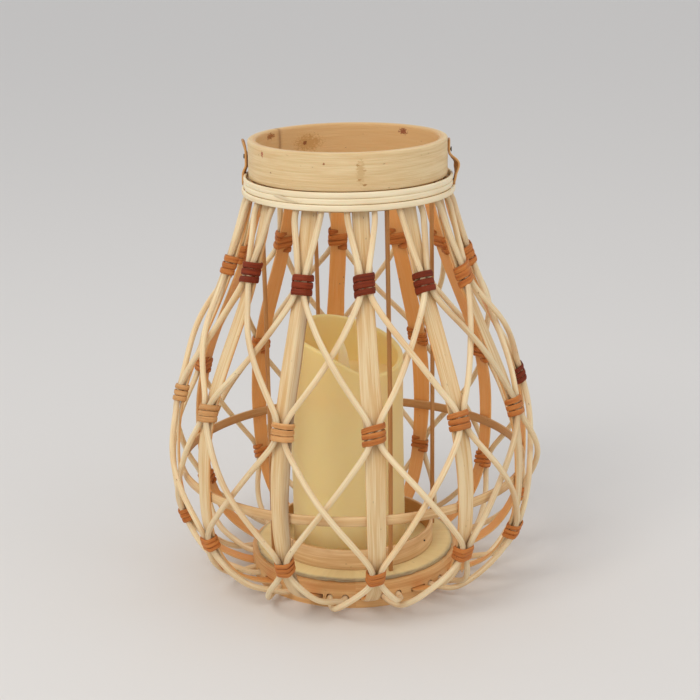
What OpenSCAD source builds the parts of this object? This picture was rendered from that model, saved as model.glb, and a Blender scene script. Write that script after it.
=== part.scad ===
// Pear-shaped bamboo and rattan candle lantern with two lugs and a battery pillar candle.
// +Z is up, the origin is the centre of the base ring's underside, and -Y is the front.
// Angles round the lantern are measured from the front towards +X.

/* [Collar] */
// Outer diameter of the bent bamboo collar
collar_d = 125; // [105:1:150]
// Wall of the collar
collar_wall = 5.3; // [4:0.1:8]
// Height of the whole lantern, floor to collar rim
total_h = 290; // [280:1:360]
// Height of the collar that stands above the binding
collar_h = 23; // [18:1:40]
// Depth of the rebate that the slat ends and the binding lie in
neck_rebate = 3; // [2:0.1:3.5]
// Height of one round of the neck binding
binding_h = 3.7; // [3:0.1:5]
// Thickness of one round of the neck binding
binding_t = 1.9; // [1.2:0.1:2.5]

/* [Cage] */
// Diameter of the cage at the middle of the slats, at its widest
belly_d = 230; // [190:1:280]
// Height of the widest level
belly_h = 86; // [75:1:95]
// How far the slats have spread from the neck at the upper row of ties
shoulder_out = 14.6; // [10:0.1:20]
// Drop from the binding to the upper row of ties
upper_tie_drop = 47; // [40:1:60]
// Height of the middle row of ties
middle_tie_h = 129; // [115:1:140]
// How far inside the widest radius the slats are at the middle row
middle_inset = 6; // [3:0.5:10]
// Height of the lower row of ties
lower_tie_h = 46; // [42:1:55]
// How far inside the widest radius the slats are at the lower row
lower_inset = 4.4; // [3:0.1:8]
// How far inside the widest radius the slats are at the heel
heel_inset = 20; // [16:1:24]
// Height of the heel bend
heel_h = 20.5; // [17:0.5:24]
// Turn of the whole cage, front slat towards +X
cage_turn = 6; // [0:0.5:15]
// Width of a slat
slat_w = 11; // [9:0.5:12]
// Thickness of a slat
slat_t = 2; // [1.5:0.1:2.5]
// Diameter of a rattan cane
cane_d = 4; // [3.2:0.1:4.6]

/* [Base] */
// Outer diameter of the base ring
base_d = 137.6; // [120:0.2:160]
// Wall of the base ring
base_wall = 5.3; // [4:0.1:8]
// Height of the base ring
base_h = 16.1; // [14:0.1:22]
// How far the board's edge is inside the outside of the base ring
board_inset = 3.1; // [1:0.1:4.5]
// Thickness of the board
board_t = 2.5; // [2:0.1:5]
// Outer diameter of the hoop that keeps the candle in place
candle_hoop_d = 106; // [90:1:110]
// Wall of that hoop
candle_hoop_wall = 2.2; // [1.5:0.1:3]
// Height of that hoop
candle_hoop_h = 13.6; // [10:0.1:20]
// Side of the square upright rods
strut_w = 2.4; // [2:0.1:3]
// Height of the middle of the flat hoop inside the cage
belly_hoop_h = 78; // [72:1:84]
// Width of the flat hoop
belly_hoop_w = 6; // [4:0.5:8]

/* [Lugs] */
// Width of a lug's bamboo strip
lug_w = 8.5; // [7:0.5:11]
// Thickness of the strip
lug_t = 1.5; // [1.2:0.1:2]
// How far the right lug's loop stands off the collar
lug_gap = 5.3; // [4.6:0.1:8]
// How far the left lug's top end leans off the collar
lug_lean = 3.2; // [1.5:0.1:5]
// How far a lug's top end is below the collar rim
lug_drop = 2; // [1:0.5:4]
// Diameter of a lug's nail
lug_nail_d = 1.4; // [1:0.1:2]

/* [Candle] */
// Diameter of the wax pillar
candle_d = 75; // [60:1:80]
// Height of the wax pillar at its highest rim
candle_h = 148; // [144:1:180]
// Wall of the wax round the hollow top
wax_wall = 3.6; // [2.5:0.1:5]
// How far the candle stands left of the lantern's centre line
candle_shift = 3.5; // [0:0.5:6]
// Height of the flame tip above the candle's foot
flame_h = 142; // [135:1:150]
// Diameter of one battery
battery_d = 14.5; // [10.5:0.5:14.5]
// Length of one battery
battery_l = 50; // [44:0.5:50]

/* [Hidden] */
slat_n = 12;
slat_step = 360 / slat_n;
touch_gap = 0.05;                       // between pieces bound or seated together
body_gap = 0.3;                         // between pieces that move on each other
run_gap = 0.05;                         // radial, round a pin
lug_turns = [88, 263];                  // right lug, left lug
collar_r = collar_d / 2;
mouth_r = collar_r - collar_wall;
neck_r = collar_r - neck_rebate;
binding_top = total_h - collar_h;
binding_bottom = binding_top - 3 * binding_h;
neck_bottom = binding_bottom - 2;
slat_top = binding_top - 1;
base_r = base_d / 2;
base_bore_r = base_r - base_wall;
board_r = base_r - board_inset;
board_top = base_h + board_t;
tuck_z = 7;                             // height at which slats and canes enter the base ring
cane_r = cane_d / 2;
cane_side_lift = cane_r - slat_t / 2 + 0.1;   // cane's centre outside the middle of a slat, beside it
cane_lift = slat_t / 2 + cane_r + 0.35;       // and where it lies on the slat
tie_t = 1.2;
tie_w = 10;
tie_slack = 0.3;                        // least room inside a tie
upper_tie_h = binding_bottom - upper_tie_drop;
belly_r = belly_d / 2;
neck_line_r = neck_r + slat_t / 2 + 0.25;
tuck_end_r = base_bore_r + 0.4;

// Middle line of a slat as [radius, height], neck to base ring
cage_knots = [
    [neck_line_r, slat_top],
    [neck_line_r, binding_bottom + 2],
    [neck_line_r + shoulder_out, upper_tie_h],
    [belly_r - middle_inset, middle_tie_h],
    [belly_r, belly_h],
    [belly_r - lower_inset, lower_tie_h],
    [belly_r - heel_inset, heel_h],
    [base_r + 1.5, tuck_z],
    [tuck_end_r, tuck_z]
];

// How far each hand-made tie sits above its row, front slat first, towards +X
tie_lifts = [
    [4, 2, 0, 3, 4, 1, -1, 1, 0, 1, 5, 3],
    [2, 3, -3, 1, 0, 2, 0, 0, 0, -2, 2, 2],
    [-4, 3, -2, 1, 3, 2, 0, 2, 0, -2, 1, 0]
];
// How far each slat is turned from its even place, in degrees, in the same order
slat_turns = [0.5, 0, 0, 0, -1, -2, 0, 0, 0, 0, 0, 1.5];

// Curve through knots a to d at share u of the way from b to c (centripetal spline)
function knot_gap(a, b) = sqrt(norm(b - a));
function mix(a, b, ta, tb, t) = ((tb - t) * a + (t - ta) * b) / (tb - ta);
function curve_point(a, b, c, d, u) =
    let (
        t1 = knot_gap(a, b), t2 = t1 + knot_gap(b, c), t3 = t2 + knot_gap(c, d),
        t = t1 + (t2 - t1) * u,
        ab = mix(a, b, 0, t1, t), bc = mix(b, c, t1, t2, t), cd = mix(c, d, t2, t3, t)
    )
    mix(mix(ab, bc, 0, t2, t), mix(bc, cd, t1, t3, t), t1, t2, t);
function curve_knot(k, i) =
    i < 0 ? 2 * k[0] - k[1] : i >= len(k) ? 2 * k[len(k) - 1] - k[len(k) - 2] : k[i];
function curve(k, i, u) =
    curve_point(curve_knot(k, i - 1), curve_knot(k, i), curve_knot(k, i + 1), curve_knot(k, i + 2), u);

line_parts = 16;
cage_line = [
    for (i = [0 : len(cage_knots) - 2], j = [0 : line_parts - (i < len(cage_knots) - 2 ? 1 : 0)])
        curve(cage_knots, i, j / line_parts)
];
function running_lengths(p, i = 0, so_far = 0) =
    i >= len(p) ? [] :
    let (s = i == 0 ? 0 : so_far + norm(p[i] - p[i - 1]))
    concat([s], running_lengths(p, i + 1, s));
cage_s = running_lengths(cage_line);
cage_length = cage_s[len(cage_s) - 1];
radius_by_s = [for (i = [0 : len(cage_line) - 1]) [cage_s[i], cage_line[i][0]]];
height_by_s = [for (i = [0 : len(cage_line) - 1]) [cage_s[i], cage_line[i][1]]];
s_by_height = [for (i = [0 : len(cage_line) - 1 - line_parts]) [cage_line[i][1], cage_s[i]]];
function line_at(s) = [lookup(s, radius_by_s), lookup(s, height_by_s)];
function line_way(s) = let (w = line_at(s + 0.8) - line_at(s - 0.8)) w / norm(w);
function line_out(s) = let (w = line_way(s)) [-w[1], w[0]];
function s_at(z) = lookup(z, s_by_height);

row_h = [upper_tie_h, middle_tie_h, lower_tie_h];
function slat_turn(i) = cage_turn + i * slat_step + slat_turns[i % slat_n];
function tie_s(row, i) = s_at(row_h[row] + tie_lifts[row][i % slat_n]);

// Two canes share each gap between slats. Cane a starts beside the left slat, cane b beside the
// right one. Both change sides between one row of ties and the next, and cross half way.
tie_side = cane_r + 0.06;               // cane's centre beside the middle of its slat, at a tie
neck_side = slat_w / 2 + cane_r + 0.6;  // the same at the neck
a_hole_turn = 17;                       // where the canes enter the base ring, from the left slat
b_hole_turn = 8.5;
tie_flat = tie_w / 2 + 1.2;
cross_over = 3.5;
cross_under = cane_d + 0.8 - cross_over;
low_over = 2.8;                         // the same where they cross below the lower ties
low_under = cane_d + 0.5 - low_over;
function mm_to_turn(mm, r) = asin(mm / r);
function share(s, from, to) = min(1, max(0, (s - from) / (to - from)));

// Places along a cane's way as [s, turn from the left slat], at the ends of its straight stretches
function cane_keys(gap, is_a) =
    let (
        own = is_a ? gap : gap + 1, far = is_a ? gap + 1 : gap,
        left = slat_turn(gap), gap_turn = slat_turn(gap + 1) - left,
        s1 = tie_s(0, own), s2 = tie_s(1, far), s3 = tie_s(2, own),
        at_own = function (mm, s) let (m = mm_to_turn(mm, line_at(s)[0])) is_a ? m : gap_turn - m,
        at_far = function (mm, s) let (m = mm_to_turn(mm, line_at(s)[0])) is_a ? gap_turn - m : m,
        s_neck = s_at(binding_bottom - 5)
    )
    [
        [1, at_own(neck_side, 1)],
        [s_neck, at_own(neck_side, s_neck)],
        [s1 - tie_flat, at_own(tie_side, s1)],
        [s1 + tie_flat, at_own(tie_side, s1)],
        [s2 - tie_flat, at_far(tie_side, s2)],
        [s2 + tie_flat, at_far(tie_side, s2)],
        [s3 - tie_flat, at_own(tie_side, s3)],
        [s3 + tie_flat, at_own(tie_side, s3)],
        [cage_length - base_wall - 2, is_a ? a_hole_turn : b_hole_turn],
        [cage_length, is_a ? a_hole_turn : b_hole_turn]
    ];
key_parts = [4, 5, 2, 7, 2, 7, 2, 8, 1];

function bump(u, peak) = let (w = sin(180 * pow(u, ln(0.5) / ln(peak)))) w * w;
// How far the cane's centre is outside the middle of the slats
function cane_out(s, keys, is_a) =
    let (
        on_slat = share(s, s_at(binding_bottom), s_at(binding_bottom - 6)),
        tuck = pow(share(s, keys[7][0], cage_length - base_wall), 6),
        u1 = share(s, keys[3][0], keys[4][0]), u2 = share(s, keys[5][0], keys[6][0]),
        u3 = share(s, keys[7][0], keys[8][0]),
        sign_1 = is_a ? cross_over : -cross_under, sign_2 = is_a ? -cross_under : cross_over
    )
    cane_side_lift * (1 - on_slat) + cane_lift * on_slat * (1 - tuck)
    + sign_1 * bump(u1, 0.5) + sign_2 * bump(u2, 0.5)
    + (is_a ? -low_under : low_over) * bump(u3, 0.76);
function cane_turn(s, keys, i = 0) =
    i >= len(keys) - 1 ? keys[len(keys) - 1][1] :
    s <= keys[i + 1][0] ?
        let (u = share(s, keys[i][0], keys[i + 1][0])) keys[i][1] * (1 - u) + keys[i + 1][1] * u :
    cane_turn(s, keys, i + 1);
function on_cage(s, turn, out) =
    let (p = line_at(s) + out * line_out(s)) [p[0] * sin(turn), -p[0] * cos(turn), p[1]];
function cane_point(s, gap, keys, is_a) =
    on_cage(s, slat_turn(gap) + cane_turn(s, keys), cane_out(s, keys, is_a));

// Closed tube of given radius along a list of points, with the side directions given
function tube_points(path, sides, radius, edges) = [
    for (i = [0 : len(path) - 1])
        let (
            way = path[min(i + 1, len(path) - 1)] - path[max(i - 1, 0)],
            across = cross(way, sides[i]), a = across / norm(across),
            b0 = cross(a, way), b = b0 / norm(b0)
        )
        for (k = [0 : edges - 1])
            path[i] + radius * (cos(k * 360 / edges) * b + sin(k * 360 / edges) * a)
];
function tube_faces(rings, edges) = concat(
    [for (i = [0 : rings - 2], k = [0 : edges - 1])
        [i * edges + k, i * edges + (k + 1) % edges, (i + 1) * edges + (k + 1) % edges]],
    [for (i = [0 : rings - 2], k = [0 : edges - 1])
        [i * edges + k, (i + 1) * edges + (k + 1) % edges, (i + 1) * edges + k]],
    [[for (k = [edges - 1 : -1 : 0]) k]],
    [[for (k = [0 : edges - 1]) (rings - 1) * edges + k]]
);

// Outline of a bent strip: both sides of a middle line, t thick
function strip_outline(p, t) =
    let (
        n = len(p),
        out = [for (i = [0 : n - 1])
            let (w = p[min(i + 1, n - 1)] - p[max(i - 1, 0)]) [-w[1], w[0]] / norm(w)]
    )
    concat([for (i = [0 : n - 1]) p[i] + out[i] * t / 2],
           [for (i = [n - 1 : -1 : 0]) p[i] - out[i] * t / 2]);
// Rounded rectangle centred on [0, 0]
function round_box(w, h, r, parts = 3) = [
    for (q = [0 : 3], j = [0 : parts])
        let (c = [[1, 1], [-1, 1], [-1, -1], [1, -1]][q], a = q * 90 + j * 90 / parts)
        [c[0] * (w / 2 - r) + r * cos(a), c[1] * (h / 2 - r) + r * sin(a)]
];
module ring(outer, inner, h, z) {
    translate([0, 0, z]) difference() {
        cylinder(r = outer, h = h, $fn = 96);
        translate([0, 0, -1]) cylinder(r = inner, h = h + 2, $fn = 96);
    }
}
module at_turn(turn) {
    rotate([0, 0, turn]) children();
}

// ---- collar and neck ----
edge_round = 0.8;
lug_nail_r = lug_nail_d / 2;
lug_nail_z = [total_h - 8.5, total_h - 12.5];
module collar() color([0.86, 0.77, 0.56]) difference() {
    rotate_extrude($fn = 128) polygon([
        [mouth_r, neck_bottom], [neck_r, neck_bottom], [neck_r, binding_top],
        [collar_r, binding_top], [collar_r, total_h - edge_round], [collar_r - edge_round, total_h],
        [mouth_r + edge_round, total_h], [mouth_r, total_h - edge_round]
    ]);
    for (k = [0, 1]) at_turn(lug_turns[k] - 90) translate([mouth_r + 1, 0, lug_nail_z[k]])
        rotate([0, 90, 0]) cylinder(r = lug_nail_r, h = collar_wall, $fn = 32);
}
binding_r = neck_line_r + cane_side_lift + cane_r + touch_gap;
low_binding_r = binding_r + 1.4;
module neck_binding() color([0.92, 0.84, 0.64]) for (k = [0 : 2])
    rotate_extrude($fn = 128)
        translate([(k == 0 ? low_binding_r : binding_r) + binding_t / 2, binding_bottom + (k + 0.5) * binding_h])
            polygon(round_box(binding_t, binding_h - touch_gap, 0.8));

// ---- cage ----
slat_points = [for (i = [0 : 2 : len(cage_line) - 1]) cage_line[i]];
module slat(i) color([0.87, 0.72, 0.47]) at_turn(slat_turn(i) - 90)
    rotate([90, 0, 0]) linear_extrude(height = slat_w, center = true)
        polygon(strip_outline(slat_points, slat_t));
module cane(gap, is_a) {
    keys = cane_keys(gap, is_a);
    places = concat([for (k = [0 : len(key_parts) - 1], j = [0 : key_parts[k] - 1])
        keys[k][0] + (keys[k + 1][0] - keys[k][0]) * j / key_parts[k]], [cage_length]);
    path = [for (s = places) cane_point(s, gap, keys, is_a)];
    sides = [for (s = places) let (t = slat_turn(gap) + cane_turn(s, keys), o = line_out(s))
        [o[0] * sin(t), -o[0] * cos(t), o[1]]];
    color([0.9, 0.8, 0.57]) polyhedron(
        points = tube_points(path, sides, cane_r, 8), faces = tube_faces(len(path), 8), convexity = 10);
}
// A tie goes round one slat and the two canes that lie on it
// How far the slat bends away from straight inside a tie
function tie_bend(s) = max([for (e = [-tie_w / 2, tie_w / 2])
    abs((line_at(s + e) - line_at(s)) * line_out(s))]);
function tie_outline(grow, slack) = let (tie_in = slat_t / 2 + slack, tie_out = cane_lift + cane_r + slack) [
    [-tie_in - grow, slat_w / 2 + 0.1], [-tie_in, slat_w / 2 + 0.1 + grow],
    [tie_in, slat_w / 2 + 0.1 + grow], [tie_out - 0.8, tie_side + cane_r + 0.2 + grow],
    [tie_out + grow, tie_side + cane_r - 1.2],
    [tie_out + grow, -tie_side - cane_r + 1.2], [tie_out - 0.8, -tie_side - cane_r - 0.2 - grow],
    [tie_in, -slat_w / 2 - 0.1 - grow], [-tie_in, -slat_w / 2 - 0.1 - grow],
    [-tie_in - grow, -slat_w / 2 - 0.1]
];
module tie(row, i) {
    s = tie_s(row, i);
    p = line_at(s);
    w = line_way(s);
    slack = max(tie_slack, tie_bend(s) + 0.1);
    at_turn(slat_turn(i) - 90) translate([p[0], 0, p[1]]) rotate([0, atan2(w[0], w[1]) - 180, 0])
        linear_extrude(height = tie_w, center = true) difference() {
            polygon(tie_outline(tie_t, slack));
            polygon(tie_outline(0, slack));
        }
}
module ties(row) for (i = [0 : slat_n - 1]) tie(row, i);
module upper_ties() color([0.55, 0.2, 0.1]) ties(0);
module middle_ties() color([0.72, 0.4, 0.2]) ties(1);
module lower_ties() color([0.75, 0.42, 0.2]) ties(2);
belly_hoop_r = line_at(s_at(belly_hoop_h))[0] - slat_t / 2 - 0.3;
module belly_hoop() color([0.85, 0.7, 0.45])
    ring(belly_hoop_r, belly_hoop_r - 2, belly_hoop_w, belly_hoop_h - belly_hoop_w / 2);
// Rods from the board, between the hoop and the base ring, to the underside of the collar
candle_hoop_r = candle_hoop_d / 2;
strut_turn = 23;
strut_foot_r = (candle_hoop_r + base_bore_r) / 2;
strut_top_r = (mouth_r + neck_r) / 2;
module struts() color([0.82, 0.66, 0.42]) for (k = [0 : 3]) at_turn(strut_turn + k * 90 - 90)
    rotate([90, 0, 0]) linear_extrude(height = strut_w, center = true) polygon([
        [strut_foot_r - strut_w / 2, board_top], [strut_foot_r + strut_w / 2, board_top],
        [strut_top_r + strut_w / 2, neck_bottom], [strut_top_r - strut_w / 2, neck_bottom]
    ]);

// ---- base ----
module base_ring() color([0.85, 0.62, 0.35]) difference() {
    ring(base_r, base_bore_r, base_h, 0);
    for (i = [0 : slat_n - 1]) {
        at_turn(slat_turn(i)) translate([-slat_w / 2 - 0.15, -base_r - 2, tuck_z - slat_t / 2 - 0.4])
            cube([slat_w + 0.3, base_wall + 4, slat_t + 0.8]);
        for (hole = [a_hole_turn, b_hole_turn]) at_turn(slat_turn(i) + hole)
            translate([0, -base_bore_r + 2, tuck_z]) rotate([90, 0, 0])
                cylinder(r = cane_r + 0.25, h = base_wall + 4, $fn = 32);
    }
}
module board() color([0.86, 0.78, 0.55]) translate([0, 0, base_h])
    cylinder(r = board_r, h = board_t, $fn = 128);
nail_r = 0.6;
nail_turns = [-62, -58, 60, 180];
nail_h = board_top + candle_hoop_h * 0.62;
module candle_hoop() color([0.87, 0.74, 0.48]) difference() {
    ring(candle_hoop_r, candle_hoop_r - candle_hoop_wall, candle_hoop_h, board_top);
    for (a = nail_turns) at_turn(a) translate([0, -candle_hoop_r + candle_hoop_wall + 1, nail_h])
        rotate([90, 0, 0]) cylinder(r = nail_r, h = candle_hoop_wall + 2, $fn = 24);
}

// ---- lugs ----
// A lug is a strip that stands on the lowest round of the binding, passes outside the upper
// rounds and is nailed to the collar. The right one bulges, the left one leans outwards.
seat_r = max(binding_r + binding_t, collar_r) + touch_gap + lug_t / 2;
foot_gap = 0.25;
nail_head_gap = 0.35;
seat_z = binding_bottom + binding_h + foot_gap;
on_collar_r = collar_r + touch_gap + lug_t / 2;
loop_r = on_collar_r + lug_gap;
lug_top = total_h - lug_drop;
right_knots = [
    [seat_r, seat_z], [seat_r, seat_z + 1.5], [seat_r + 0.6, seat_z + 4],
    [loop_r, binding_top + 3], [loop_r, binding_top + 6.5],
    [on_collar_r + 0.4, binding_top + 12], [on_collar_r, lug_nail_z[0]], [on_collar_r, lug_top]
];
left_knots = [
    [seat_r, seat_z], [seat_r, seat_z + 4], [seat_r - 0.4, binding_top + 1],
    [on_collar_r + 1.2, binding_top + 5], [on_collar_r + 1.2, lug_nail_z[1]],
    [on_collar_r + 2, (lug_nail_z[1] + lug_top) / 2], [on_collar_r + lug_lean, lug_top]
];
function smooth_line(knots, parts) = concat(
    [for (i = [0 : len(knots) - 2], j = [0 : parts - 1]) curve(knots, i, j / parts)],
    [knots[len(knots) - 1]]
);
module lugs() color([0.84, 0.66, 0.4]) for (k = [0, 1]) at_turn(lug_turns[k] - 90) difference() {
    rotate([90, 0, 0]) linear_extrude(height = lug_w, center = true)
        polygon(strip_outline(smooth_line(k == 0 ? right_knots : left_knots, 4), lug_t));
    translate([mouth_r, 0, lug_nail_z[k]]) rotate([0, 90, 0])
        cylinder(r = lug_nail_r, h = collar_wall + 9, $fn = 32);
}
lug_nail_head_x = [on_collar_r + lug_t / 2 + nail_head_gap, on_collar_r + 1.2 + lug_t / 2 + nail_head_gap];
module nails() color([0.35, 0.3, 0.27]) {
    for (k = [0, 1]) at_turn(lug_turns[k] - 90) translate([mouth_r + 1, 0, lug_nail_z[k]])
        rotate([0, 90, 0]) {
            cylinder(r = lug_nail_r, h = lug_nail_head_x[k] - mouth_r - 1, $fn = 32);
            translate([0, 0, lug_nail_head_x[k] - mouth_r - 1])
                cylinder(r = lug_nail_r + 0.8, h = 0.6, $fn = 32);
        }
    for (a = nail_turns) at_turn(a) translate([0, -candle_hoop_r + candle_hoop_wall, nail_h])
        rotate([90, 0, 0]) cylinder(r = nail_r, h = candle_hoop_wall + 0.3, $fn = 24);
}

// ---- candle ----
candle_r = candle_d / 2;
candle_z = board_top + body_gap;
candle_top = candle_z + candle_h;
pool_z = candle_z + 114;
bore_r = candle_r - 6.5;
bore_top = candle_z + 100;
wick_r = 6.5;
dip_r = 35;
dip_turn = 30;
dip_z = candle_top - 24 + dip_r;
module on_candle() translate([-candle_shift, 0, 0]) children();
module candle_wax() color([0.93, 0.87, 0.6, 0.95]) on_candle() difference() {
    translate([0, 0, candle_z]) cylinder(r = candle_r, h = candle_h, $fn = 128);
    translate([0, 0, candle_z - 1]) cylinder(r = bore_r, h = bore_top - candle_z + 1, $fn = 96);
    translate([0, 0, candle_z]) cylinder(r = wick_r, h = candle_h, $fn = 48);
    translate([0, 0, pool_z]) cylinder(r = candle_r - wax_wall, h = candle_h, $fn = 96);
    at_turn(dip_turn) translate([0, 0, dip_z]) rotate([90, 0, 0])
        cylinder(r = dip_r, h = candle_d, $fn = 128);
}
cup_r = bore_r - 0.1;
cup_wall = 2;
cup_bottom = candle_z + 1;
cup_top = bore_top - 0.1;
shelf_z = candle_z + battery_l + 7;
chimney_r = wick_r - 0.2;
chimney_bore = 4.5;
chimney_h = 10;
pivot_z = cup_top + 6;
pivot_r = 0.6;
boss_y = cup_r - cup_wall - 7.9;
module candle_cup() color([0.9, 0.88, 0.8]) on_candle() {
    ring(cup_r, cup_r - cup_wall, cup_top - cup_bottom, cup_bottom);
    ring(cup_r - cup_wall, 5.5, cup_wall, cup_top - cup_wall);
    ring(chimney_r, chimney_bore, chimney_h, cup_top - cup_wall);
    ring(cup_r - cup_wall, 4, cup_wall, shelf_z);
    translate([0, boss_y, 0]) ring(3.6, 1.4, shelf_z - candle_z - 3.3, candle_z + 3.3);
    translate([0, (chimney_r + chimney_bore) / 2, pivot_z]) rotate([90, 0, 0])
        cylinder(r = pivot_r, h = chimney_r + chimney_bore, $fn = 32);
}
cover_z = cup_bottom;
cover_t = 2;
switch_travel = 4;
switch_w = 4.6;
switch_y = 7.9 + cup_wall - cup_r;
module battery_cover() color([0.88, 0.86, 0.78]) on_candle() difference() {
    translate([0, 0, cover_z]) cylinder(r = cup_r - cup_wall - 0.1, h = cover_t, $fn = 96);
    translate([-(switch_w + switch_travel) / 2 - body_gap, switch_y - 2 - body_gap, cover_z - 1])
        cube([switch_w + switch_travel + 2 * body_gap, 4 + 2 * body_gap, cover_t + 2]);
    translate([0, boss_y, cover_z - 1]) cylinder(r = 1.6, h = cover_t + 2, $fn = 32);
    translate([0, boss_y, cover_z - 1]) cylinder(r = 2.9, h = 2, $fn = 32);
}
module cover_screw() color([0.7, 0.7, 0.72]) on_candle() translate([0, boss_y, cover_z]) difference() {
    union() {
        cylinder(r = 2.7, h = 1, $fn = 32);
        cylinder(r = 1.38, h = 12, $fn = 32);
    }
    for (a = [0, 90]) rotate([0, 0, a]) translate([-1.6, -0.35, -1]) cube([3.2, 0.7, 1.6]);
}
module switch_slider() color([0.2, 0.2, 0.2]) on_candle()
    translate([-(switch_w + switch_travel) / 2, switch_y, 0]) {
        translate([0, -2, candle_z + 0.7]) cube([switch_w, 4, cover_t + 1]);
        translate([-1, -3.4, cover_z + cover_t + body_gap]) cube([switch_w + 2, 6.8, 1]);
    }
battery_x = battery_d / 2 + 1.5;
battery_z = candle_z + 5.2;
module batteries() color([0.3, 0.33, 0.36]) on_candle() for (side = [-1, 1])
    translate([side * battery_x, 0, battery_z]) {
        cylinder(d = battery_d, h = battery_l - 1.5, $fn = 48);
        translate([0, 0, battery_l - 1.5]) cylinder(r = 2.7, h = 1.3, $fn = 32);
    }
module battery_contacts() color([0.75, 0.75, 0.72]) on_candle() {
    for (side = [-1, 1]) translate([side * battery_x - 4, -4, shelf_z - 0.7]) cube([8, 8, 0.6]);
    translate([-battery_x - 5, -5, battery_z - 1.2]) cube([2 * battery_x + 10, 10, 0.6]);
}
board_z = shelf_z + cup_wall + 6;
module circuit_board() color([0.1, 0.42, 0.25]) on_candle() translate([0, 0, board_z])
    cylinder(r = 20, h = 1.6, $fn = 64);
coil_z = board_z + 1.65;
module drive_coil() color([0.72, 0.4, 0.2]) on_candle() ring(6, 2.5, 8, coil_z);
module led() color([0.95, 0.9, 0.75]) on_candle() translate([12, 0, coil_z]) {
    cylinder(r = 2.9, h = 1, $fn = 32);
    cylinder(r = 2.5, h = 6, $fn = 32);
    translate([0, 0, 6]) sphere(r = 2.5, $fn = 32);
}
flame_lean = 5;
flame_t = 1.2;
flame_up = candle_z + flame_h - pivot_z;
flame_down = 13;
flame_half = 3.7;
// Half the flame's width at share u of the way from the pin to the tip
function flame_side(u) = 1.9 + (flame_half - 1.9) * pow(sin(180 * pow(u, 0.8)), 1.2) - 1.75 * pow(u, 4);
flame_edge = [for (j = [0 : 16]) [flame_side(j / 16), flame_up * j / 16]];
module on_pivot() on_candle() translate([0, 0, pivot_z]) rotate([0, -flame_lean, 0]) children();
module flame() color([0.97, 0.93, 0.8]) on_pivot() difference() {
    rotate([90, 0, 0]) linear_extrude(height = flame_t, center = true) polygon(concat(
        [[-1.9, -flame_down], [1.9, -flame_down]], flame_edge,
        [for (j = [16 : -1 : 0]) [-flame_edge[j][0], flame_edge[j][1]]]
    ));
    rotate([90, 0, 0]) cylinder(r = pivot_r + run_gap, h = 4, center = true, $fn = 32);
}
module flame_magnet() color([0.6, 0.6, 0.62]) on_pivot()
    translate([0, -flame_t / 2, 2.2 - flame_down]) rotate([90, 0, 0]) cylinder(r = 1.8, h = 1.5, $fn = 32);

collar();
neck_binding();
for (i = [0 : slat_n - 1]) slat(i);
for (i = [0 : 2 * slat_n - 1]) cane(floor(i / 2), i % 2 == 0);
upper_ties();
middle_ties();
lower_ties();
belly_hoop();
struts();
base_ring();
board();
candle_hoop();
lugs();
nails();
candle_wax();
candle_cup();
battery_cover();
cover_screw();
switch_slider();
batteries();
battery_contacts();
circuit_board();
drive_coil();
led();
flame();
flame_magnet();
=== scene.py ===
"""Looks of a pear-shaped bamboo and rattan candle lantern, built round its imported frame.

Lengths are in millimetres inside the classes, as in the part's own design, and become metres
when a mesh is made. Angles round the lantern are measured from the front (-Y) towards +X.
"""

import sys

import logging
import math
from dataclasses import dataclass, field
from enum import Enum

import bpy
import numpy as np
from mathutils import Matrix, Vector


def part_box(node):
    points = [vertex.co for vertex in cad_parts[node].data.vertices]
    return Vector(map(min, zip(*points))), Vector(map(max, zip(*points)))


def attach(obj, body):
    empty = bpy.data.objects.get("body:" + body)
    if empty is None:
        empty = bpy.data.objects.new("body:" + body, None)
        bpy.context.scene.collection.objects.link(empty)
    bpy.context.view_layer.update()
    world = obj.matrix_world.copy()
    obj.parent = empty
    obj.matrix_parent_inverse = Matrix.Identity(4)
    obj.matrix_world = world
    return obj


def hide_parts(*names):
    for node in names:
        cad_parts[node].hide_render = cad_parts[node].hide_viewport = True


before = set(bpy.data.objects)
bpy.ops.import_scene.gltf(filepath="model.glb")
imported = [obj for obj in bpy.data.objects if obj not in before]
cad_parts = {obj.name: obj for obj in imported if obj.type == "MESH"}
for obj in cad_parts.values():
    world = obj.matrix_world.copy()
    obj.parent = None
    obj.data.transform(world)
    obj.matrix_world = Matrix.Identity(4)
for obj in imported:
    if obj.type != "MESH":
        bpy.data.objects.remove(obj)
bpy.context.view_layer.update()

MM = 0.001
SLAT_COUNT = 12
Array = np.ndarray
log = logging.getLogger("lantern")


class Body(Enum):
    """The frame's bodies."""

    CAGE = "cage"
    CANDLE = "candle"
    FLAME = "flame"
    SWITCH = "switch"


# ---------------------------------------------------------------- curves and surfaces


def unit(v: Array) -> Array:
    """Vectors scaled to length one, along the last axis."""
    return v / np.linalg.norm(v, axis=-1, keepdims=True)


def ease(x: Array, low: float, high: float) -> Array:
    """Smooth step from 0 at low to 1 at high: u squared times (3 minus 2 u)."""
    u = np.clip((np.asarray(x, float) - low) / (high - low), 0, 1)
    return u * u * (3 - 2 * u)


def soften(values: Array, step: float, reach: float) -> Array:
    """Gaussian average of evenly spaced values, with both ends held.

    Args:
        values: one value or one row for each step.
        step: distance between neighbours.
        reach: standard deviation of the average, as a distance.

    Returns:
        The averaged values, the same shape.
    """
    half = max(1, int(3 * reach / step))
    weights = np.exp(-0.5 * (np.arange(-half, half + 1) * step / reach) ** 2)
    weights /= weights.sum()
    flat = np.asarray(values, float).reshape(len(values), -1)
    padded = np.vstack([2 * flat[:1] - flat[half:0:-1], flat, 2 * flat[-1:] - flat[-2:-half - 2:-1]])
    columns = [np.convolve(padded[:, k], weights, "valid") for k in range(flat.shape[1])]
    return np.stack(columns, 1).reshape(np.shape(values))


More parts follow.
